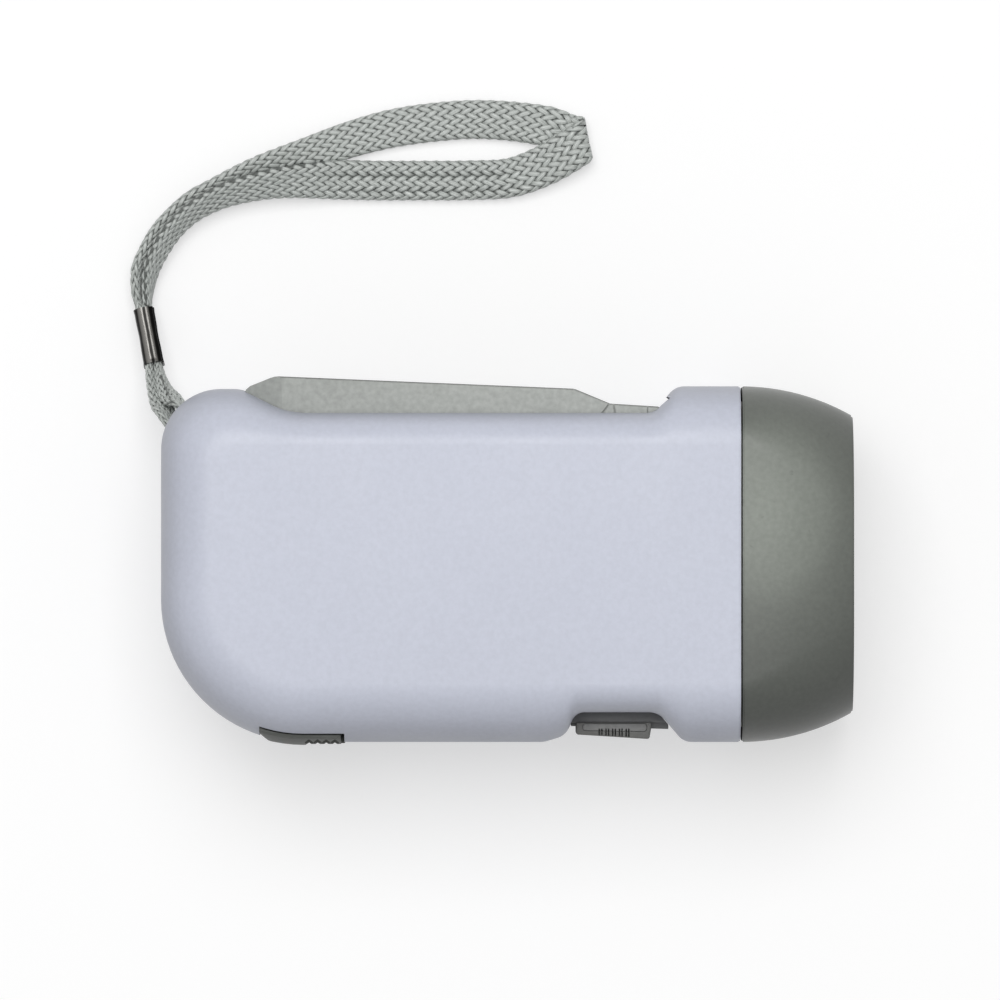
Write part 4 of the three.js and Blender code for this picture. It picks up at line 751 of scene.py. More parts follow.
def leaning_width(spots, lean, flipped):
    """Direction across a ribbon that leans from flat by some degrees."""
    tangent = unit(np.gradient(spots, axis=0))
    across = unit(np.cross((0, 0, 1), tangent)) * (-1 if flipped else 1)
    upright = np.cross(tangent, across) * (-1 if flipped else 1)
    angle = np.radians(lean)[:, None]
    return across * np.cos(angle) + upright * np.sin(angle)


def lying_strand(stations, flipped):
    """A strand of the strap: spots, directions across it, widths and thicknesses, in metres."""
    stations = np.array(stations, float)
    stations[:, :3] *= mm
    stations[:, 4] *= mm
    line = curve_points(stations, strand_step)
    lean = np.clip(line[:, 3], 0, 90)
    widths = line[:, 4]
    thickness = np.interp(widths, (narrow_width, full_width), (narrow_thickness, braid_thickness))
    reach = widths / 2 * np.sin(np.radians(lean)) + thickness / 2 * np.cos(np.radians(lean)) + table_gap
    spots = line[:, :3]
    spots[:, 2] = np.maximum(spots[:, 2], reach)
    return spots, leaning_width(spots, lean, flipped), widths, thickness


def strap_fold():
    """The braid turns back over itself at the far end of the loop, round a slanted line."""
    top, bottom = (np.array([*end, 0]) for end in fold_line)
    line = unit(bottom - top)
    out = np.array([-line[1], line[0], 0])
    start = (top + bottom) / 2 * mm
    start[2] = fold_thickness / 2 + table_gap
    heading = np.array([*fold_heading, 0])
    along = heading.dot(line)
    around = heading.dot(out)
    steps = max(10, round(math.pi * fold_radius / around / strand_step))
    turn = np.linspace(0, math.pi, steps)[:, None]
    up = np.array([0, 0, 1.0])
    axis = start + up * fold_radius
    spots = axis + line * turn * fold_radius * along / around + fold_radius * (out * np.sin(turn) - up * np.cos(turn))
    width = unit(-line * around + along * (out * np.cos(turn) + up * np.sin(turn)))
    leaving = np.array([*(line * along - out * around)[:2], 0])
    narrowed = strap_width * (1 - fold_narrowing - fold_pinch * np.sin(turn[:, 0]))
    return spots, width, narrowed, np.full(steps, fold_thickness), leaving


def pressed_fold(places):
    """Places with the fold's corners pressed in, so that its crest is straight."""
    top, bottom = (np.array(end) * mm for end in fold_line)
    line = unit(bottom - top)
    out = np.array([-line[1], line[0]])
    past = (places[..., :2] - top).dot(out) - fold_radius - fold_thickness / 2 - fold_round
    pressed = places.copy()
    pressed[..., :2] -= np.maximum(past, 0)[..., None] * fold_press * out
    return pressed


def strap_body():
    """Spots, directions across, upright directions, widths and thicknesses along the whole strap."""
    *fold, leaving = strap_fold()
    spots = fold[0] / mm
    before = spots[0] - np.array([*fold_heading, 0]) * fold_leave / mm
    after = spots[-1] + leaving * fold_leave / mm
    flat = (0, strap_width / mm)
    outer = lying_strand(outer_strand + [(*before, *flat), (*spots[0], *flat)], False)
    inner = lying_strand([(*spots[-1], *flat), (*after, *flat)] + inner_strand, True)
    rows = [np.concatenate([outer[k][:-1], fold[k], inner[k][1:]]) for k in range(4)]
    kernel = np.full(2 * easing_rows + 1, 1 / (2 * easing_rows + 1))
    for k in (2, 3):
        rows[k] = np.convolve(np.pad(rows[k], easing_rows, mode="edge"), kernel, mode="valid")
    spots, width, widths, thicknesses = rows
    tangent = unit(np.gradient(spots, axis=0))
    width = unit(width - tangent * (width * tangent).sum(1)[:, None])
    return spots, width, np.cross(tangent, width), widths, thicknesses


def flat_ring(share, widths, thickness):
    """A place on a flat oval section: across, upright, and the direction outwards, at a share of its way round."""
    half = (widths - thickness) / 2
    radius = thickness / 2
    straight = 2 * half
    bend = math.pi * radius
    run = (share % 1) * 2 * (straight + bend)
    side = np.where(run < straight + bend, 1, -1)
    local = np.where(side > 0, run, run - straight - bend)
    curved = local >= straight
    angle = math.pi / 2 + np.where(curved, (local - straight) / radius, 0)
    across = side * np.where(curved, -half + radius * np.cos(angle), half - local)
    upright = side * radius * np.where(curved, np.sin(angle), 1)
    return across, upright, side * np.where(curved, np.cos(angle), 0), side * np.where(curved, np.sin(angle), 1)


def furrow_depths(places, body):
    """The furrow beside the inner strand's high edge, where the two strands lie against each other."""
    spots, width, _, widths, _ = body
    edge = (spots + width * widths[:, None] / 2)[len(spots) // 2:, :2]
    edge = edge[(edge[:, 0] < furrow_end) & (edge[:, 1] > furrow_side)]
    edge = np.vstack([edge, curve_points(metres(legs_gap), strand_step)[:, :2]])
    gaps = np.linalg.norm(places[:, None, :2] - edge[None], axis=2).min(1)
    return furrow_depth * np.exp(-(gaps / furrow_width) ** 2)


def crease_depths(spots, across, upright):
    """Lengthwise creases on the upper face of the inner strand, where the braid sinks in."""
    reach = np.clip(np.minimum(spots[:, 0] - crease_run[0], crease_run[1] - spots[:, 0]) / crease_fade, 0, 1)
    reach = reach * (spots[:, 1] < crease_side) * (np.abs(upright) > 0.1 * mm)
    return sum(reach * depth * np.exp(-((across - place) / crease_width) ** 2) for place, depth in creases)


def braid_strand(body, share, direction, run):
    """One strand: its centre line, directions sideways and outwards, half width, and a value for its painted shade: how
    far it is on top, less its creases and the furrow.
    """
    spots, width, thick, widths, thicknesses = body
    share = share + direction * run / braid_pitch
    across, upright, out_across, out_upright = flat_ring(share, widths, thicknesses)
    out = width * out_across[:, None] + thick * out_upright[:, None]
    column = np.cos(math.pi * braid_strands * share - math.pi / 4)
    crown = direction * column
    places = spots + width * across[:, None] + thick * upright[:, None]
    furrow = furrow_depths(places, body)
    sunk = crease_depths(spots, across, upright) + furrow
    line = places + out * (crown * strand_dip - sunk)[:, None]
    side = unit(np.cross(out, unit(np.gradient(line, axis=0))))
    girth = 2 * (widths - thicknesses) + math.pi * thicknesses
    half = strand_fill_share * girth / braid_strands * np.cos(np.arctan2(girth, braid_pitch)) / 2
    half = half * (1 - strand_narrowing + strand_narrowing * crown)
    # The last value is for the painted shade: the creases and the furrow lower it.
    return line, side, out, half, crown - sunk / crease_shade - furrow / furrow_shade


def tube_faces(start, rows, sides):
    """The faces between the rings of a tube, whose points start at a number."""
    low = start + np.arange(rows - 1)[:, None] * sides
    here = low + np.arange(sides)[None]
    beside = low + (np.arange(sides)[None] + 1) % sides
    return np.stack([here, beside, beside + sides, here + sides], -1).reshape(-1, 4)


def make_strap():
    """The braid: strands wound both ways round the strap's flat section, over a dark core that paints the shade in the
    gaps between them.
    """
    body = strap_body()
    spots, width, thick, widths, thicknesses = body
    run = np.concatenate([[0], np.cumsum(np.linalg.norm(np.diff(spots, axis=0), axis=1))])
    turns = 2 * math.pi * np.arange(strand_sides) / strand_sides
    vertices, faces, uvs, dip_shades = [], [], [], []
    count = len(run)
    for direction in (1, -1):
        for k in range(braid_strands):
            line, side, out, half, crown = braid_strand(body, k / braid_strands, direction, run)
            start = len(vertices) * strand_sides * count
            ring = (line[:, None] + side[:, None] * half[:, None, None] * np.cos(turns)[None, :, None]
                    + out[:, None] * strand_thickness / 2 * np.sin(turns)[None, :, None])
            vertices.append(pressed_fold(ring.reshape(-1, 3)))
            faces.append(tube_faces(start, count, strand_sides))
            v = run / strap_width + k * strand_shift + direction
            v0, v1 = (np.repeat(v[part], strand_sides) for part in (slice(0, -1), slice(1, None)))
            u0 = np.tile(np.arange(strand_sides) / strand_sides, count - 1)
            u1 = u0 + 1 / strand_sides
            uvs.append(np.stack([u0, v0, u1, v0, u1, v1, u0, v1], -1).reshape(-1, 2))
            dip_shades.append(np.repeat(crown, strand_sides))
    core_rows = np.arange(0, count, core_step)
    core = []
    for i in core_rows:
        across, upright, *_ = flat_ring(np.arange(core_sides) / core_sides, widths[i] - core_inset,
                                        thicknesses[i] - core_inset)
        core.append(spots[i] + np.outer(across, width[i]) + np.outer(upright, thick[i]))
    core_faces = tube_faces(sum(len(v) for v in vertices), len(core_rows), core_sides)
    vertices.append(np.concatenate(core))
    faces.append(core_faces)
    uvs.append(np.full((len(core_faces) * 4, 2), 0.5))
    dip_shades.append(np.full(len(core_rows) * core_sides, -1))
    mesh = bpy.data.meshes.new("braided_strap")
    mesh.from_pydata(np.concatenate(vertices), [], np.concatenate(faces).tolist())
    mesh.uv_layers.new(name="strand").data.foreach_set("uv", np.concatenate(uvs).astype(np.float32).ravel())
    # How far each strand lies on top, less its creases and the furrow. The yarn material paints shade from this.
    top = mesh.attributes.new("crown", "FLOAT", "POINT")
    top.data.foreach_set("value", np.concatenate(dip_shades).astype(np.float32))
    mesh.materials.append(braid_yarn)
    mesh.materials.append(braid_shade_core)
    slots = np.zeros(len(mesh.polygons), np.int32)
    slots[-len(core_faces):] = 1
    mesh.polygons.foreach_set("material_index", slots)
    mesh.shade_smooth()
    return declare(placed("braided_strap", mesh), "case", "webbing", "wrist_strap")


# The rows of the outer and the inner strand that the sleeve's ends lie between.
sleeve_rows = ((5, 18), (7, 16))
sleeve_half_width = 1.55 * mm
sleeve_half_height = 2.05 * mm
sleeve_corner = 1.35 * mm
sleeve_sheet = 0.3 * mm
sleeve_seam = math.radians(38)
sleeve_seam_half = math.radians(4.5)
sleeve_steps = 40
sleeve_flare = 0.04
sleeve_flare_run = 0.04
sleeve_pinch = 0.05
sleeve_pinch_run = 0.16


def sleeve_section(grow):
    """The sleeve's outline, open at its seam."""
    loop = divided(rounded_loop([
        (way_x * sleeve_half_width, way_y * sleeve_half_height, sleeve_corner)
        for way_x, way_y in ((-1, -1), (1, -1), (1, 1), (-1, 1))
    ], math.radians(9), grow), 0.2 * mm)
    turned = (np.arctan2(loop[:, 1], loop[:, 0]) - sleeve_seam) % (2 * math.pi)
    loop = loop[np.argsort(turned)]
    turned = np.sort(turned)
    return loop[(turned > sleeve_seam_half) & (turned < 2 * math.pi - sleeve_seam_half)]


def make_ferrule():
    """A crimped sleeve, rolled from sheet with an open seam along one side."""
    start, end = (
        (np.array(outer_strand[row][:3]) + np.array(inner_strand[twin][:3])) / 2 * mm for row, twin in sleeve_rows)
    axis = unit(end - start)
    across = unit(np.cross(axis, (0, 0, 1)))
    upright = np.cross(across, axis)
    length = np.linalg.norm(end - start)
    profile = np.vstack([sleeve_section(0), sleeve_section(-sleeve_sheet)[::-1]])
    rings = []
    for share in np.arange(sleeve_steps + 1) / sleeve_steps:
        ends = sum(math.exp(-((share - end_share) / sleeve_flare_run) ** 2) for end_share in (0, 1))
        pinch = 1 - sleeve_pinch * math.exp(-((share - 0.5) / sleeve_pinch_run) ** 2)
        rings.append([start + axis * length * share + (across * x * pinch + upright * y) * (1 + sleeve_flare * ends)
                      for x, y in profile])
    mesh = loft(rings)
    # Where each point lies across the sleeve, for the nickel's painted reflection bands.
    layer = mesh.attributes.new("round", "FLOAT", "POINT")
    places = np.array([v.co for v in mesh.vertices]) - (start + end) / 2
    layer.data.foreach_set("value", (places.dot(across) / sleeve_half_width).astype(np.float32))
    return add_piece("strap_crimp", mesh, "case", "nickel", nickel, "strap_ferrule")


strap = make_strap()
crimp = make_ferrule()


# Case shells

lever_corners = around(pin_x, pin_y, [
    (-64.5, -4.5, 1), (2, -4.5, 0), (2, 3.5, 0), (-1.6, 5.9, 0), (-8.9, 6.35, 1.4), (-14.3, 8.6, 1.4),
    (-59.7, 10.5, 3), (-64.5, 8.6, 1)])
lever_swing = math.radians(28)
tip_drop = 2.8 * mm
tip_gap = 0.3 * mm
slot_gap = 0.4 * mm
slot_low = lever_low - slot_gap
slot_high = lever_high + slot_gap
slot_end = pin_x - 64.2 * mm
sweep_steps = 7
latch_x0 = tail_x + 15 * mm
latch_x1 = tail_x + 27.3 * mm
latch_half = 12.25 * mm
latch_back = -side_y + 2.4 * mm
latch_step = mid_z - 1 * mm
stem_x0 = seam_x - 20.3 * mm
stem_x1 = stem_x0 + 4.8 * mm
stem_half = 1.5 * mm
screw_nodes = [f"shell_screw_{k}" for k in range(1, 5)]
well_radius = 2.65 * mm


def welded(node):
    """A copy of a CAD node's mesh with its shared corners joined."""
    mesh = frame["nodes"][node].data.copy()
    with edited(mesh) as bm:
        bmesh.ops.remove_doubles(bm, verts=bm.verts, dist=weld_reach)
    return mesh


def rounded_slab(loop, z0, z1, radius, steps=4):
    """A flat piece whose upper and lower edges are rounded."""
    turns = [math.pi / 2 * k / steps for k in range(steps + 1)]
    low = [(radius * (1 - math.sin(turn)), z0 + radius * (1 - math.cos(turn))) for turn in turns]
    high = [(depth, z0 + z1 - z) for depth, z in reversed(low)]
    return loft([np.column_stack([inset(loop, depth), np.full(len(loop), z)]) for depth, z in low + high])


def end_spans(z0, z1, depth):
    """The spans of height that hold a piece's two ends, each to a depth."""
    return (z1 - depth, far), (-far, z0 + depth)


def tip_wedges(gap):
    """What the sloped end of the lever leaves to the case, above and below, with a gap."""
    x0, x1 = pin_x - 66 * mm, pin_x - 58.5 * mm
    wedges = []
    for edge, way in ((lever_high + gap, 1), (lever_low - gap, -1)):
        profile = [(x0, edge - way * tip_drop * 1.33), (x1, edge), (x1, edge + way * tip_drop),
                   (x0, edge + way * tip_drop)]
        rings = [[(x, y, z) for x, z in profile] for y in (pin_y - 12 * mm, far)]
        wedges.append(loft(rings[::way]))
    return wedges


def lever_slot():
    """The way that the lever sweeps through the case."""
    swept = inset(rounded_loop(lever_corners), -slot_gap)
    ways = [
        cut(block(slot_end, pin_x - 8.9 * mm, pin_y - 4 * mm, far, slot_low, slot_high), *tip_wedges(tip_gap)),
        mid_block(pin_x - 65.7 * mm, pin_x - 59 * mm, pin_y - 10 * mm, far, 2.3 * mm),
    ]
    for k in range(sweep_steps + 1):
        opened = [spun(point, -lever_swing * k / sweep_steps, (pin_x, pin_y)) for point in swept]
        way = common(slab(opened, slot_low, slot_high), block(slot_end, far, 0, far, 0, far))
        ways.append(cut(way, *tip_wedges(tip_gap)))
    return ways


def strap_hole():
    """The hole in the tail corner that the strap comes out of."""
    reach = 7.9 * mm
    angle = math.radians(144)
    out = np.array([math.cos(angle), math.sin(angle)])
    side = np.array([-out[1], out[0]])
    centre = np.array([tail_x + tail_corner, hump_y - tail_corner]) + out * reach
    points = [centre + side * a + out * b for a, b in metres([(-3, 6), (3, 6), (3, -4), (-3, -4)])]
    return slab(points, mid_z - 6.2 * mm, mid_z - 1 * mm)


def case_openings():
    window_half = latch_half + 0.6 * mm
    window_y = -side_y + 4.4 * mm
    return lever_slot() + [
        mid_block(latch_x0 - 0.05 * mm, latch_x1 + 0.55 * mm, -far, window_y, window_half),
        block(latch_x1, latch_x1 + 1.15 * mm, -far, window_y, mid_z - window_half, latch_step),
        mid_block(stem_x0, stem_x1, -far / 2, -side_y + 7 * mm, stem_half),
        strap_hole(),
    ]


def outer_case():
    """The case's outside, with its edge at the head eased."""
    lip = 0.22 * mm
    end = seam_x - fit_gap / 2
    body = common(case_block(0), block(-far, end - lip, -far, far))
    edge = common(case_block(lip * 0.6), block(end - 2 * lip, end, -far, far))
    return joined(body, edge)


def screw_centre(node):
    corners = np.array([v.co for v in frame["nodes"][node].data.vertices])
    return (corners[:, :2].min(0) + corners[:, :2].max(0)) / 2


def inner_parts(node):
    """The bosses and posts of a CAD shell, without its outer skin or what stands in the latch's way."""
    latch_room = block(latch_x1, latch_x1 + 1.4 * mm, -far, latch_back, 0, latch_step)
    return cut(common(welded(node), case_block(wall * 0.75)), latch_room)


def make_shells():
    hollow = cut(outer_case(), case_block(wall))
    hollow = cut(hollow, *[rod_z(well_radius, screw_centre(node), -1 * mm, wall + 0.3 * mm) for node in screw_nodes])
    openings = case_openings()
    for name, node, z0, z1 in (
        ("upper_case", "upper_shell", mid_z + fit_gap / 2, far),
        ("lower_case", "lower_shell", -far, mid_z - fit_gap / 2),
    ):
        mesh = common(hollow.copy(), block(-far, far, -far, far, z0, z1))
        mesh = cut(mesh, *[opening.copy() for opening in openings])
        mesh = joined(mesh, inner_parts(node))
        add_piece(name, mesh, "case", "pale_shell", shell_plastic, node, angle=30)


make_shells()


# Head

lens_front = front_x - 0.6 * mm
lens_back = lens_front - 1.5 * mm
lens_rim = 2.2 * mm
spigot_wall = 1.5 * mm


def make_bezel():
    start = seam_x + fit_gap / 2
    joint = start + 2 * mm
    spigot_back = seam_x - 3.5 * mm
    spigot_depth = wall + fit_gap
    ledge_back = lens_back - fit_gap - 0.9 * mm
    past_front = front_x + overrun / 3
    ease = 0.25 * mm
    mesh = joined(
        head_block(start + ease, front_x - ease, 0, 40),
        head_block(start, start + 2 * ease, ease * 0.7, 2),
        head_block(front_x - 2 * ease, front_x, ease * 0.8, 2),
        head_block(spigot_back, joint, spigot_depth),
    )
    cavity = joined(head_block(joint - 0.05 * mm, ledge_back, wall),
                    head_block(seam_x - overrun, joint, spigot_depth + spigot_wall))
    mesh = cut(
        mesh,
        head_block(spigot_back - overrun, joint, spigot_depth + spigot_wall),
        cavity,
        head_block(ledge_back - overrun, past_front, lens_rim + 1.8 * mm),
        head_block(lens_back - fit_gap, past_front, lens_rim),
    )
    add_piece("head_ring", mesh, "case", "grey_grip", grip_plastic, "head_bezel", angle=34)


make_bezel()


# Lens, reflector and lamps

reflector_front = front_x - 3.6 * mm
reflector_plate = 1.2 * mm
cup_back = reflector_front - 9.6 * mm
cup_places = [(0, mid_z + 5.2 * mm), (-8.6 * mm, mid_z - 4.8 * mm), (8.6 * mm, mid_z - 4.8 * mm)]
cup_radius = 6.4 * mm
cup_throat = 2.8 * mm
cup_wall = 0.8 * mm
cup_steps = 24
post_radius = 1.5 * mm
lamp_base = 38 * mm
lamp_radius = 2.5 * mm
lamp_length = 8 * mm


def make_lens():
    depth = lens_rim + fit_gap
    ease = 0.2 * mm
    rings = [head_section(x, d, 24) for x, d in (
        (lens_back, depth + ease), (lens_back + ease, depth), (lens_front - ease, depth), (lens_front, depth + ease))]
    add_piece("front_lens", loft(rings), "case", "clear_lens", clear_lens, "lens", angle=50)


def cup_skin(grow, front, back):
    """A cup's bowl shape as places along X and radii, from its back to its front."""
    shares = [(k / cup_steps) ** 2 for k in range(1, cup_steps + 1)]
    bowl = [(cup_back + (reflector_front - cup_back) * share,
             cup_throat + (cup_radius - cup_throat) * math.sqrt(share) + grow) for share in shares]
    return [(back, cup_throat + grow)] + bowl + [(front, cup_radius + grow)]


def make_reflector():
    plate = head_block(reflector_front - reflector_plate, reflector_front, wall + fit_gap, 2)
    cups, bores = (
        [turned_x(cup_skin(grow, front, back), y, z, 72) for y, z in cup_places]
        for grow, front, back in ((cup_wall, reflector_front - 0.3 * mm, cup_back), (0, front_x, cup_back - 1 * mm)))
    posts = [turned_x([(seam_x + 2.5 * mm, post_radius), (reflector_front - 0.5 * mm, post_radius)], y, mid_z + 6 * mm)
             for y in (-12 * mm, 12 * mm)]
    mesh = cut(joined(plate, *cups, *posts), *bores)
    add_piece("reflector_cups", mesh, "case", "mirror", chrome, "reflector")


def make_lamp(number, y, z):
    """A clear lamp with its flange, and the two lead posts and the chip's cup inside it."""
    top = lamp_base + lamp_length - lamp_radius
    dome = [(top + lamp_radius * math.sin(turn), lamp_radius * math.cos(turn))
            for turn in np.radians(np.linspace(0, 90, 14))]
    flange = around(lamp_base, 0, [(0, 2.55), (0.1, 2.6), (0.9, 2.6), (1, 2.5)])
    add_piece(f"lamp_{number}", turned_x(flange + dome, y, z), "case", "led_resin", led_resin, f"led_{number}")
    foot = lamp_base + 0.4 * mm
    cup_rim = lamp_base + 3.9 * mm
    z0, z1 = z - 0.3 * mm, z + 0.3 * mm
    anvil = block(foot, cup_rim - 0.3 * mm, y - 1.1 * mm, y - 0.2 * mm, z0, z1)
    post = block(foot, cup_rim, y + 0.5 * mm, y + 1 * mm, z0, z1)
    cup = turned_x(around(cup_rim, 0, [(-0.8, 0.5), (0, 0.85), (0, 0.7), (-0.5, 0.3)]), y - 0.5 * mm, z, 24)
    add_piece(f"lamp_frame_{number}", joined(anvil, cup, post), "case", "steel", steel)


make_lens()
make_reflector()
for lamp_number, lamp_place in enumerate(cup_places, 1):
    make_lamp(lamp_number, *lamp_place)


# Screws

def make_screw(node):
    """A pan-head screw with a slot and rolled ridges, seen in its well on the underside."""
    x, y = screw_centre(node)
    heights = [v.co.z for v in frame["nodes"][node].data.vertices]
    low, high = min(heights), max(heights)
    seat = low + 1.6 * mm
    ridge = 0.4 * mm
    slot_half = 0.35 * mm
    profile = around(low, 0, [(0, 1.426), (0.15, 1.886), (0.45, 2.208), (0.8, 2.3)])
    profile += around(seat, 0, [(-0.1, 2.3), (0, 2.231), (0, 1.1)])
    for k in range(int((high - seat - 1.2 * mm) / (2 * ridge))):
        z = seat + 0.6 * mm + 2 * ridge * k
        profile += [(z, 1.13 * mm), (z + ridge, 0.92 * mm)]
    profile += around(high, 0, [(-0.4, 0.95), (0, 0.4)])
    slot = block(x - 3 * mm, x + 3 * mm, y - slot_half, y + slot_half, low - 1 * mm, low + 0.7 * mm)
    mesh = cut(turned_z(profile, (x, y), 36), slot)
    add_piece(node.replace("shell", "case"), mesh, "case", "steel", steel, node)


for screw_node in screw_nodes:
    make_screw(screw_node)


# Squeeze lever

# What is cut off to round the lever's free end, and the notches that mark its hinge end as start, end and width. All
# are in millimetres from the pin.
lever_crown = [(-66, 7.2), (-64.2, 8.4), (-62.9, 9.45), (-61.5, 10), (-60.4, 10.3), (-60.4, 13), (-66, 13)]
lever_notches = [((-8.95, 6.35), (-10.3, 4.6), 0.3), ((-8.4, 6.6), (-8.1, 4.6), 0.3), ((-3.2, 6.3), (-3.2, 4.6), 0.16)]
notch_depth = 0.45 * mm


def line_cut(start, end, width):
    """A thin four-sided outline along a line on the lever."""
    start, end = np.array(around(pin_x, pin_y, (start, end)))
    side = np.array([start[1] - end[1], end[0] - start[0]])
    side = side / np.linalg.norm(side) * width * mm / 2
    return [start + side, start - side, end - side, end + side]


def make_lever():
    skin = rounded_slab(rounded_loop(lever_corners), lever_low, lever_high, 0.45 * mm)
    mesh = common(welded("squeeze_lever"), skin)
    mesh = cut(mesh, block(-far, slot_end + 0.08 * mm, pin_y + 2 * mm, far, 0, far),
               slab(around(pin_x, pin_y, lever_crown), 0, far), *tip_wedges(0))
    for notch in lever_notches:
        mesh = cut(mesh, *[slab(line_cut(*notch), *span) for span in end_spans(lever_low, lever_high, notch_depth)])
    add_piece("lever_shell", mesh, "lever", "grey_grip", lever_plastic, "squeeze_lever", angle=35)


make_lever()


# Thumb switch

button_x0 = seam_x - 25.05 * mm
button_x1 = button_x0 + 11.6 * mm
button_outer = -side_y + 0.45 * mm
button_base = -side_y + 3.05 * mm
button_half = 7 * mm
button_slope = 0.7 * mm
dish_depth = 0.5 * mm
dish_corner = 0.5 * mm
rib_count = 5
rib_pitch = 1.02 * mm
rib_length = 1.6 * mm
groove_half = 0.11 * mm


def rib_grooves(z0, z1):
    """The pairs of blind grooves that leave ribs on both ends of the button."""
    grooves = []
    for k in range(rib_count):
        for side in (-1, 1):
            x = button_x0 + 3.75 * mm + rib_pitch * k + 0.2 * mm * side
            front = button_outer + button_slope * (button_x1 - x) / (button_x1 - button_x0)
            grooves += [block(x - groove_half, x + groove_half, front + 0.12 * mm, button_outer + 1.6 * mm, *span)
                        for span in end_spans(z0, z1, rib_length)]
    return grooves


def make_button():
    """The button's two-tone cap, wider at its ends, and the stem that reaches the switch."""
    z0, z1 = mid_z - button_half, mid_z + button_half
    loop = rounded_loop([
        (button_x0, button_outer + button_slope, 0.4 * mm), (button_x1 - 0.45 * mm, button_outer, 0.4 * mm),
        (button_x1, button_base, 0.3 * mm), (button_x0, button_base, 0.3 * mm),
    ], math.radians(15))
    dish_x0, dish_x1, dish_y = button_x0 + 1 * mm, button_x1 - 0.8 * mm, button_outer + 2.4 * mm
    dish = rounded_loop([
        (dish_x0, button_outer + 1.25 * mm, dish_corner), (dish_x1, button_outer + 1.1 * mm, dish_corner),
        (dish_x1, dish_y, dish_corner), (dish_x0, dish_y, dish_corner),
    ], math.radians(15))
    ribs = rib_grooves(z0, z1)
    mesh = cut(
        rounded_slab(loop, z0, z1, 0.2 * mm),
        slab(dish, z1 - dish_depth, z1 + 1 * mm),
        slab(dish, z0 - 1 * mm, z0 + dish_depth),
        mid_block(button_x0 - 1 * mm, button_x1 + 1 * mm, button_outer + 1.4 * mm, 0, 5.3 * mm),
        mid_block(button_x0 - 1 * mm, button_x1 + 1 * mm, dish_y, 0, 6.6 * mm),
        *[groove.copy() for groove in ribs],
    )
    stem = common(welded("switch_button"), mid_block(-far, far, button_outer + 1.2 * mm, 0, 1.2 * mm))
    upper, lower = (rounded_slab(inset(dish, 0.06 * mm), low, high, 0.08 * mm, 2)
                    for low, high in ((z1 - 0.52 * mm, z1 - 0.08 * mm), (z0 + 0.08 * mm, z0 + 0.52 * mm)))
    inlays = cut(joined(upper, lower), *ribs)
    add_piece("button_inlays", inlays, "thumb_switch", "dark_grey", inlay_plastic, angle=35)
    add_piece("thumb_button", joined(mesh, stem), "thumb_switch", "dark_grey", button_plastic, "switch_button",
              angle=35)


def make_rail():
    """The trim plate in the pocket and the rail that the thumb button slides on."""
    plate = mid_block(pocket_x0 - 1.2 * mm, pocket_x1 + 2.4 * mm, pocket_y - 1.6 * mm, pocket_y + 0.4 * mm, 6.5 * mm)
    outline = around(pocket_x0, pocket_y, [(-0.7, -2.2), (14.1, -2.65), (14.1, -1.1), (-0.7, -1.1)])
    rail = slab(outline, mid_z - 5 * mm, mid_z + 5 * mm)
    mesh = cut(joined(plate, rail), case_block(-0.06 * mm), mid_block(stem_x0, stem_x1, -far, 0, stem_half))
    add_piece("switch_plate", eased(mesh, 0.1 * mm, 50), "case", "dark_grey", dark_plastic, "switch_rail",
              angle=35)


make_button()
make_rail()


# Latch

# The outlines that are cut from the pad at its heel and its toe, in millimetres from its heel on the case's side.
latch_heel = [(-1, 2.4), (-1, -2), (2.7, -2), (2.7, -0.38), (1.3, 0.25), (0, 1.4)]
latch_toe = [(6.9, -2), (13.5, -2), (13.5, -0.28), (7.3, -0.28)]
latch_rise = 0.45 * mm
groove_count = 4
groove_pitch = 1.3 * mm


def make_latch():
    """The thumb pad of the latch with its grooves, on the CAD's arm and hook."""
    z0, z1 = mid_z - latch_half, mid_z + latch_half
    outer = -side_y - latch_rise
    plan = joined(block(latch_x0, latch_x1, -far, latch_back, z0, z1),
                  block(latch_x0, latch_x1 + 0.5 * mm, -far, -side_y + 1.2 * mm, z0, latch_step - fit_gap))
    pad = common(case_block(-latch_rise), plan)
    for span in end_spans(z0, z1, 2 * mm):
        pad = cut(pad, common(case_block(0.05 * mm), block(-far, far, -far, 0, *span)))
    grooves = []
    for k in range(groove_count):
        x = latch_x1 - 0.9 * mm - groove_pitch * k
        grooves.append(slab(around(x, outer, [(-0.6, 0), (0.6, 0), (0, 0.42)]), -far, far))
        end_groove = around(x, outer, [(-0.62, -1), (0.62, -1), (0.62, 0.5), (0, 0.95), (-0.62, 0.5)])
        grooves += [slab(end_groove, *span) for span in end_spans(mid_z, mid_z, -9.2 * mm)]
    grooves += [slab(around(latch_x0, -side_y, outline), -far, far) for outline in (latch_heel, latch_toe)]
    pad = eased(cut(pad, *grooves), 0.12 * mm, 35)
    arm = cut(welded("latch"), block(-far, far, -far, -side_y + 2.3 * mm))
    add_piece("latch_pad", joined(pad, arm), "catch", "dark_grey", latch_plastic, "latch", angle=35)


make_latch()


# Floor, light and background

white = (1, 1, 1, 1)


def seen_share(tree):
    """1 for rays that see the backdrop from the camera, in a mirror or through glass, and 0 for those that light."""
    path = add_node(tree, "LightPath").outputs
    bent = calculated(tree, "MAXIMUM", path["Is Glossy Ray"], path["Is Transmission Ray"])
    return calculated(tree, "MAXIMUM", path["Is Camera Ray"], bent)


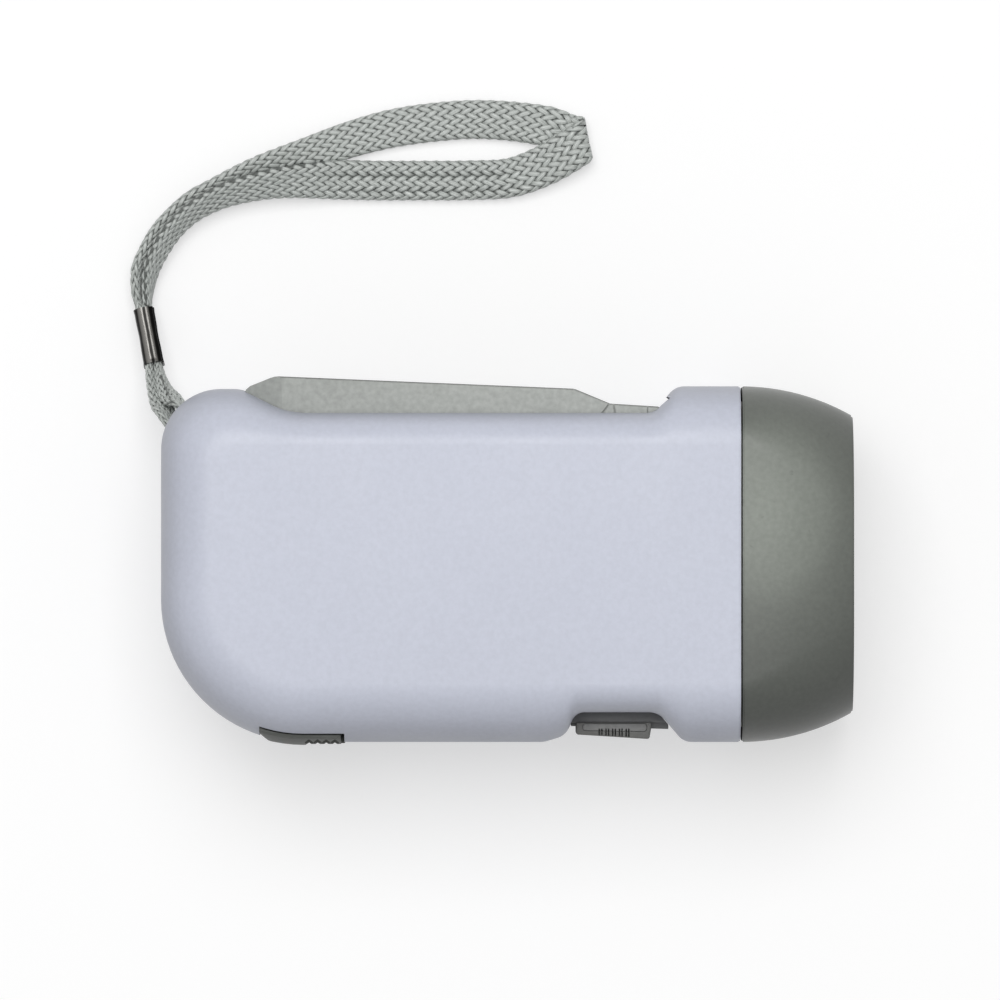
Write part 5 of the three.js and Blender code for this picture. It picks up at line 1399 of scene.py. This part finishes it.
def make_stage():
    size = 4
    mesh = bpy.data.meshes.new("floor")
    mesh.from_pydata([(-size, -size, 0), (size, -size, 0), (size, size, 0), (-size, size, 0)], [], [(0, 1, 2, 3)])
    floor = placed("floor", mesh)
    floor.location.z = -0.05 * mm
    material, tree, shader = new_material("floor")
    set_inputs(tree, shader, {
        "Base Color": (0.55, 0.55, 0.55, 1),
        "Roughness": 1,
        "Specular IOR Level": 0,
        "Emission Color": white,
        "Emission Strength": calculated(tree, "MULTIPLY", seen_share(tree), 0.5),
    })
    mesh.materials.append(material)


def make_world():
    """Soft light that fades towards the horizon, in front of a white backdrop."""
    world = bpy.data.worlds.new("studio")
    bpy.context.scene.world = world
    world.use_nodes = True
    tree = world.node_tree
    tree.nodes.clear()
    parts = add_node(tree, "SeparateXYZ", {"Vector": add_node(tree, "TexCoord").outputs["Generated"]})
    light = add_node(tree, "Background", {"Color": white, "Strength": ramp(tree, parts.outputs["Z"], 0.2, 0.5, 0, 0.8)})
    backdrop = add_node(tree, "Background", {"Color": white, "Strength": 1})
    mix = add_node(tree, "MixShader", {0: seen_share(tree), 1: light.outputs[0], 2: backdrop.outputs[0]})
    add_node(tree, "OutputWorld", {"Surface": mix.outputs[0]})


def make_softbox():
    """A square soft light aimed at the flashlight."""
    place = Vector((-0.1, 0.55, 1.5))
    size = 1.1
    level = 0.58
    data = bpy.data.lights.new("softbox", "AREA")
    data.shape = "SQUARE"
    data.size = size
    # The level is what a facing white surface would show.
    data.energy = level * math.pi ** 2 * place.length ** 2
    lamp = placed("softbox", data)
    lamp.location = place
    lamp.rotation_euler = (-place).to_track_quat("-Z", "Y").to_euler()


make_stage()
make_world()
make_softbox()
bpy.context.scene.view_settings.view_transform = "Standard"


def texture_rest():
    """Gives each CAD node its material, and those that still show their eased edges."""
    looks = {
        "steel": steel, "white_gear": gear_plastic, "ferrite": ferrite, "board": board_green, "copper": enamel,
        "wire": red_sleeve, "clear_lens": clear_lens, "led_resin": led_resin, "mirror": chrome,
        "grey_grip": lever_plastic, "dark_grey": dark_plastic, "pale_shell": shell_plastic, "nickel": nickel,
        "webbing": braid_shade_core,
    }
    for row in frame["record"]["subparts"]:
        node = frame["nodes"][row["node"]]
        node.data.materials.clear()
        node.data.materials.append(looks[row["material_slot"]])
        node.modifiers.new("joined", "WELD").merge_threshold = weld_reach
        if row["node"] not in ("return_spring", "latch_spring", "wrist_strap"):
            ease_edges(node, 0.08 * mm, 40)


texture_rest()
